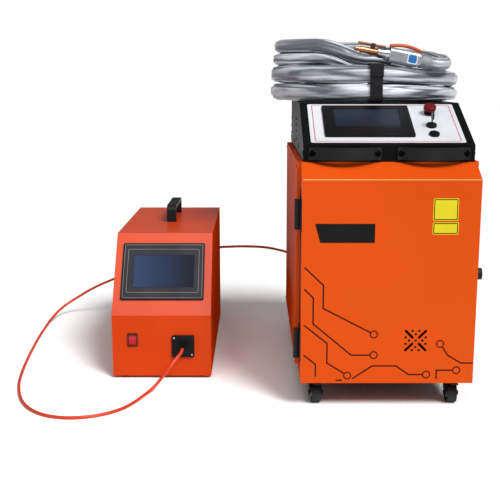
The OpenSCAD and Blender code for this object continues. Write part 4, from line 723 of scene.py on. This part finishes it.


# Door: printed runs that end in rings, a dark plate with a cut corner, two bare labels and
# a painted highlight along the top bend. Boxes are left, bottom, right, top on the door's face
door = {
    "runs": [
        [(-222, 388), (-172, 340), (-172, 278), (-46, 212)],
        [(-222, 330), (-198, 306), (-198, 236), (-96, 150), (-46, 150)],
        [(-222, 232), (-160, 182), (-160, 128), (-112, 98)], [(-222, 150), (-190, 124), (-190, 90)],
        [(228, 128), (196, 128), (160, 150), (146, 172)], [(132, 84), (132, 108), (174, 108)],
        [(-92, 84), (-40, 120), (24, 120), (58, 96), (96, 96)], [(-136, 80), (-118, 80)]],
    "rings": [(-37, 207), (-36, 150), (-105, 93), (139, 181), (185, 108), (105, 96)],
    "lineWidth": 4.0, "ink": 0.15, "jointSegments": 16, "ringRadius": 11, "ringLine": 3.2,
    "ringSteps": 30,
    "darkPlate": (-196, 453, -41, 503), "cutCorner": 14, "plateThick": 0.3,
    "labels": {"doorLabel": (107, 511, 172, 569), "doorLowerLabel": (107, 475, 174, 507)},
    "labelThick": 0.25, "labelCorner": 3, "rimIn": 2, "rimCorner": 2, "rimWidth": 2.2, "rimTop": 0.35,
    "bendHighlight": {"reach": 227, "behind": 1.05, "height": 616.4, "radius": 1.5, "segments": 20},
}


# A printed run: one strip for each straight, with round joints between them
def addRun(bm, points):
    s = door
    half = s["lineWidth"] / 2
    for n, (a, b) in enumerate(zip(points, points[1:])):
        a, b = Vector(a), Vector(b)
        along = (b - a).normalized()
        side = Vector((-along.y, along.x)) * half
        addPlate(bm, doorFace, [a - side, b - side, b + side, a + side], 0, s["ink"])
        if n:
            addDisc(bm, doorFace, a.x, a.y, half, 0, s["ink"], s["jointSegments"])


def makeDoor():
    s = door
    bm = bmesh.new()
    for run in s["runs"]:
        addRun(bm, run)
    for x, y in s["rings"]:
        outline = circle(s["ringRadius"], s["ringSteps"], x, y)
        addFrameLine(bm, doorFace, outline, s["ringLine"], 0, s["ink"])
    fromBmesh(bm, "doorPrintedLines", maroonInk, "door")

    x0, y0, x1, y1 = s["darkPlate"]
    outline = [(x0 + s["cutCorner"], y0), (x1, y0), (x1, y1), (x0, y1)]
    makePlate("doorDarkPlate", doorFace, outline, 0, s["plateThick"], blackInkAndShade, "door")

    for name, (x0, y0, x1, y1) in s["labels"].items():
        outline = roundedBox(x0, y0, x1, y1, s["labelCorner"])
        makePlate(name, doorFace, outline, 0, s["labelThick"], yellowFilm, "door")
        bm = bmesh.new()
        rim = s["rimIn"]
        outline = roundedBox(x0 + rim, y0 + rim, x1 - rim, y1 - rim, s["rimCorner"])
        addFrameLine(bm, doorFace, outline, s["rimWidth"], s["labelThick"], s["rimTop"])
        fromBmesh(tidied(bm), name + "Rim", blackInkAndShade, "door")

    # A rod of lighter orange along the door's top bend: a painted highlight
    bm = bmesh.new()
    edge = s["bendHighlight"]
    place = (Matrix.Translation(at(0, edge["behind"], edge["height"]))
             @ Matrix.Rotation(math.radians(90), 4, "Y"))
    bmesh.ops.create_cone(bm, cap_ends=True, segments=edge["segments"], radius1=edge["radius"] / 1000,
                          radius2=edge["radius"] / 1000, depth=2 * edge["reach"] / 1000, matrix=place)
    fromBmesh(tidied(bm), "doorBendHighlight", bendHighlightPaint, "door", 30)


makeDoor()
print("door dressed")


# Console: rose line on the label, display glass, near-black discs as painted shade of the
# recesses round the handles' screws, and screws down both sides, at these depths and heights.
# Glass is middle, width and height
console = {
    "roseLine": (-193, 17, 193, 222, 6), "roseWidth": 2.2, "roseLow": 0.8, "roseHigh": 0.95,
    "glass": (-45, 138, 178, 99), "proud": 6.0,
    "recesses": [-201, -31, 31, 201], "recessHeight": 678, "recessDepth": 60.8,
    "recess": {"radius": 8.6, "top": 1, "low": -0.8, "high": 0.2, "segments": 32},
    "sideX": 225, "sideScrews": [(440, (752, 735, 716, 692)), (772, (744, 716, 692, 668))],
    "screw": {"radius": 3.6, "top": 0.75, "low": 0, "high": 2.4, "segments": 20},
}


def makeConsole():
    s = console
    bm = bmesh.new()
    addFrameLine(bm, panelFace, roundedBox(*s["roseLine"]), s["roseWidth"], s["roseLow"], s["roseHigh"])
    fromBmesh(tidied(bm), "consoleRoseLine", roseInk)
    makeGlass("consoleGlass", panelFace, s["glass"], s["proud"], consoleGlass)
    bm = bmesh.new()
    lip = flatFrame(at(0, s["recessDepth"], 0), (1, 0, 0))
    addHeads(bm, lip, [(x, s["recessHeight"]) for x in s["recesses"]], s["recess"])
    fromBmesh(tidied(bm), "handleRecessShade", paintedRecessShade, smooth=30)
    bm = bmesh.new()
    for side in (-1, 1):
        spots = [(side * y, z) for y, heights in s["sideScrews"] for z in heights]
        addHeads(bm, flatFrame(at(side * s["sideX"], 0, 0), (0, side, 0)), spots, s["screw"])
    fromBmesh(tidied(bm), "consoleSideScrews", blackSteel, smooth=30)


makeConsole()
print("console dressed")


# Feeder: two beige lines and a dark rim round its display, the display's glass, the flange's
# bright and dark screws, a dark sheet as painted shade for the slot of its right side, and the
# rocker's red trim
feeder = {
    "lines": [(-107, 71, 107, 213, 5), (-117.8, 54.2, 117.8, 227.8, 3)], "lineWidth": 1.2,
    "rim": (-122.6, 49.4, 122.6, 232.6, 4), "rimWidth": 3.6, "ink": 0.15,
    "glass": (3, 141, 180, 105), "proud": 5.0,
    "screws": [(37, 125), (89, 74)], "darkScrews": [(37, 74), (89, 125)],
    "screw": {"radius": 3.4, "top": 0.7, "low": 5.0, "high": 7.0, "segments": 24},
    "slot": (330, 126, 350, 156), "slotCorner": 4, "slotX": -480, "slotThick": 0.3,
    "rocker": (-100, 100.5, -70, 135.5, 2), "rockerWidth": 3.4, "rockerLow": 3.0, "rockerHigh": 3.3,
}


def makeFeeder():
    s = feeder
    proud, inked = s["proud"], s["proud"] + s["ink"]
    bm = bmesh.new()
    for line in s["lines"]:
        addFrameLine(bm, feederPanel, roundedBox(*line), s["lineWidth"], proud, inked)
    fromBmesh(tidied(bm), "feederBeigeLines", beigeInk)
    makeGlass("feederGlass", feederPanel, s["glass"], proud, feederGlass)
    for name, spots, material, slot in (("flangeScrews", s["screws"], zincSteel, "steel"),
                                        ("flangeDarkScrews", s["darkScrews"], blackSteel, "dark_steel")):
        bm = bmesh.new()
        addHeads(bm, feederFace, spots, s["screw"])
        fromBmesh(tidied(bm), name, material, smooth=30)
    bm = bmesh.new()
    addFrameLine(bm, feederPanel, roundedBox(*s["rim"]), s["rimWidth"], proud, inked)
    # The slot in the right flank is a flat dark sheet: painted shade
    flank = flatFrame(at(s["slotX"], 0, 0), (0, 1, 0))
    addPlate(bm, flank, roundedBox(*s["slot"], s["slotCorner"]), 0, s["slotThick"])
    fromBmesh(tidied(bm), "feederDarkTrim", blackInkAndShade)
    bm = bmesh.new()
    addFrameLine(bm, feederFace, roundedBox(*s["rocker"]), s["rockerWidth"], s["rockerLow"],
                 s["rockerHigh"])
    fromBmesh(tidied(bm), "rockerTrim", darkRed)


makeFeeder()
print("feeder dressed")


# Gun: ribs round its front, a bare blue label with a pale rim, its orange hose, and a brass
# ring at the nozzle's tip. The body's own axes are forwards, sideways and up
gun = {
    "width": 40, "height": 42, "round": 12, "roundSteps": 8,
    "ribStart": 8, "ribPitch": 4.4, "ribs": 9, "ribStand": 0.7, "ribThick": 1.8, "ribWidth": 2.0,
    "label": (4, -14, 34, 14), "labelCorner": 4, "labelIn": 3, "printCorner": 5,
    "labelThick": 0.25, "printTop": 0.4,
    "hoseRadius": 5.0, "hoseSeat": 4, "hoseRise": 8, "hoseSteps": 32, "hoseSides": 16, "hoseEnd": 0.86,
    "collarLength": 34, "nozzleLength": 46,
    "tipRadius": 9.6, "tipSteps": 24, "tipWidth": 2.4, "tipDepth": 3,
}
gunPlace = (Matrix.Translation(at(*gunSeat["place"]))
            @ Matrix.Rotation(math.radians(gunSeat["turn"]), 4, "Z")
            @ Matrix.Rotation(math.radians(-gunSeat["pitch"]), 4, "Y"))


def gunFace(x, y, right):
    return gunPlace @ flatFrame(Vector((x / 1000, y / 1000, 0)), right)


# The hose is an arc over the body's top, from end to end
def gunHoseLine(halfHigh):
    s = gun
    reach = gunSeat["length"] / 2
    arc = (reach ** 2 + s["hoseRise"] ** 2) / (2 * s["hoseRise"])
    half = math.asin(reach / arc)
    line = []
    for n in range(s["hoseSteps"] + 1):
        a = -half + 2 * half * n / s["hoseSteps"]
        up = halfHigh + s["hoseSeat"] + s["hoseRise"] - arc * (1 - math.cos(a))
        line.append(toDrawing(gunPlace @ Vector((arc * math.sin(a) / 1000, 0, up / 1000))))
    return line


def makeGun():
    s = gun
    halfWide, halfHigh = s["width"] / 2, s["height"] / 2
    ribWide, ribHigh = halfWide + s["ribStand"], halfHigh + s["ribStand"]
    section = roundedBox(-ribWide, -ribHigh, ribWide, ribHigh, s["round"] + s["ribStand"],
                         s["roundSteps"])
    bm = bmesh.new()
    for n in range(s["ribs"]):
        face = gunFace(s["ribStart"] + n * s["ribPitch"], 0, (0, 1, 0))
        addFrameLine(bm, face, section, s["ribThick"], 0, s["ribWidth"])
    fromBmesh(tidied(bm), "gunRibs", castAlloy, smooth=35)

    side = gunFace(0, halfWide, (-1, 0, 0))
    x0, z0, x1, z1 = s["label"]
    outline = roundedBox(x0, z0, x1, z1, s["labelCorner"])
    makePlate("gunLabelRim", side, outline, 0, s["labelThick"], labelFilm)
    rim = s["labelIn"]
    outline = roundedBox(x0 + rim, z0 + rim, x1 - rim, z1 - rim, s["printCorner"])
    makePlate("gunLabel", side, outline, s["labelThick"], s["printTop"], bluePrint)

    def ring(n, run):
        atEnd = n in (0, s["hoseSteps"])
        return circle(s["hoseRadius"] * (s["hoseEnd"] if atEnd else 1.0), s["hoseSides"])

    sweepTube("gunHose", gunHoseLine(halfHigh), ring, s["hoseSides"], hosePlastic)
    bm = bmesh.new()
    tip = gunFace(gunSeat["length"] / 2 + s["collarLength"] + s["nozzleLength"], 0, (0, 1, 0))
    addFrameLine(bm, tip, circle(s["tipRadius"], s["tipSteps"]), s["tipWidth"], 0, s["tipDepth"])
    fromBmesh(tidied(bm), "gunTipRing", brassMetal, smooth=35)


makeGun()
print("gun dressed")


# Casters: a zinc hub cap on each side of every wheel
caster = {
    "places": {"front_left": (-185, 54), "front_right": (185, 54), "rear_left": (-185, 762),
               "rear_right": (185, 762)},
    "axleHeight": 26, "wheelWidth": 26, "capRadius": 12.9, "capSteps": 30, "capWidth": 7.5,
    "capSunk": 2.6, "capStand": 0.6,
}


def makeCasters():
    s = caster
    outline = circle(s["capRadius"], s["capSteps"])
    wheelFace = s["wheelWidth"] / 2
    for name, (x, y) in s["places"].items():
        bm = bmesh.new()
        for side in (-1, 1):
            face = flatFrame(at(x, y, s["axleHeight"]), (0, side, 0))
            addFrameLine(bm, face, outline, s["capWidth"], wheelFace - s["capSunk"],
                         wheelFace + s["capStand"])
        fromBmesh(tidied(bm), "hubCaps_" + name, zincSteel, "wheel_" + name, 35)


makeCasters()
print("casters dressed")


# Screws of the rear panel, down both edges and along its top, and of the side covers
screws = {
    "rearY": 800, "rearX": 218, "rearHeights": [84, 250, 440, 640],
    "topHeight": 640, "topAcross": [-110, 0, 110],
    "coverX": 240, "coverDepths": [110, 455, 780], "coverHeights": [112, 642],
    "screw": {"radius": 4.2, "top": 0.72, "low": 0, "high": 1.6, "segments": 24},
}


def makeScrews():
    s = screws
    bm = bmesh.new()
    spots = [(x, z) for x in (-s["rearX"], s["rearX"]) for z in s["rearHeights"]]
    spots += [(x, s["topHeight"]) for x in s["topAcross"]]
    addHeads(bm, flatFrame(at(0, s["rearY"], 0), (-1, 0, 0)), spots, s["screw"])
    for side in (-1, 1):
        spots = [(side * y, z) for y in s["coverDepths"] for z in s["coverHeights"]]
        addHeads(bm, flatFrame(at(side * s["coverX"], 0, 0), (0, side, 0)), spots, s["screw"])
    fromBmesh(tidied(bm), "coverScrews", blackSteel, smooth=30)


makeScrews()
print("screws made")


# Finishes of the drawn parts
finishes = {
    framePaint: ["base_frame"],
    sidePaint: ["left_cover", "right_cover"],
    orangePaint: ["door_panel", "rear_panel"],
    feederPaint: ["feeder_shell", "feeder_door"],
    labelFilm: ["console_label"],
    bezelPlastic: ["hmi_unit"],
    feederBezel: ["feeder_screen"],
    softBlack: ["console_handles", "feeder_handle"],
    blackPlastic: ["key_switch", "start_ring", "estop_base", "fan_frame", "fan_rotor", "rear_glands",
                   "umbilical_gland", "latch_knob"],
    blackInkAndShade: ["feeder_fittings"],
    copperDark: ["gun_wire_tube"],
    blackSteel: ["hinge_leaves", "door_hinges", "caster_plates", "pedal_left", "pedal_right",
                 "panel_screws"] + ["fork_" + name for name in caster["places"]],
    redPlastic: ["feeder_rocker"],
    stopRed: ["estop_button"],
    grindSteel: ["gun_collar", "gun_trigger", "drive_roller"],
    darkSteel: ["key", "start_button"],
    brassMetal: ["gas_inlet"],
    plainAlloy: ["laser_source", "power_supply", "condenser", "wire_spool"],
    zincSteel: ["feed_drive", "pressure_arm"],
    castAlloy: ["gun_body"],
    greyGrip: ["gun_sleeve"],
    copperMetal: ["gun_nozzle"],
    tankPlastic: ["water_tank"],
    blackPaint: ["console_shell", "compressor"],
    tyreRubber: ["feeder_feet"] + ["wheel_" + name for name in caster["places"]],
}


def dressNodes():
    left = set(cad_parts)
    for material, names in finishes.items():
        for name in names:
            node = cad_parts[name]
            node.data.materials.clear()
            node.data.materials.append(material)
            left.discard(name)
    print("nodes without a finish of their own:", sorted(left))


dressNodes()


# Stage: a pale floor that reaches 30 m each way, a soft key light from the right and two
# lamps, each with its name, place, aim, width in metres and power in watts
studio = {
    "floor": "#FEFEFE", "floorReach": 30,
    "room": "#FFFFFF", "roomStrength": 0.2, "backdropStrength": 1.02,
    "key": {"toLight": (0.42, -0.5, 0.76), "strength": 3.7, "angle": 24},
    "lamps": [("frontLamp", (-300, -2700, 1500), (-150, 300, 450), 2.4, 3),
              ("overheadLamp", (-560, -760, 2250), (-480, 330, 300), 1.5, 18)],
}


def makeFloor():
    bm = bmesh.new()
    bmesh.ops.create_grid(bm, x_segments=1, y_segments=1, size=studio["floorReach"])
    paper, _ = newMaterial("paleStudioPaper", studio["floor"], {"Roughness": 0.7,
                                                                "Specular IOR Level": 0.2})
    meshObject(bm, "floor", paper)


# The backdrop behind the object is lit brighter than the room that lights it
def makeRoom():
    world = bpy.data.worlds.new("studio")
    world.use_nodes = True
    bpy.context.scene.world = world
    back = world.node_tree.nodes["Background"]
    back.inputs["Color"].default_value = toLinear(studio["room"])
    seen = addNode(world, "ShaderNodeLightPath")
    addNode(world, "ShaderNodeMapRange",
            {"To Min": studio["roomStrength"], "To Max": studio["backdropStrength"]},
            {"Value": seen.outputs["Is Camera Ray"]}, {"Result": back.inputs["Strength"]})


def aimed(light, way):
    lamp = newObject(light.name, light)
    lamp.rotation_euler = way.to_track_quat("-Z", "Y").to_euler()
    return lamp


def makeLights():
    sun = bpy.data.lights.new("keyLight", "SUN")
    sun.energy = studio["key"]["strength"]
    sun.angle = math.radians(studio["key"]["angle"])
    aimed(sun, -Vector(studio["key"]["toLight"]))
    for name, place, aim, size, power in studio["lamps"]:
        light = bpy.data.lights.new(name, "AREA")
        light.shape = "SQUARE"
        light.size = size
        light.energy = power
        aimed(light, at(*aim) - at(*place)).location = at(*place)


makeFloor()
makeRoom()
makeLights()
bpy.context.scene.view_settings.view_transform = "Standard"
print("studio made")

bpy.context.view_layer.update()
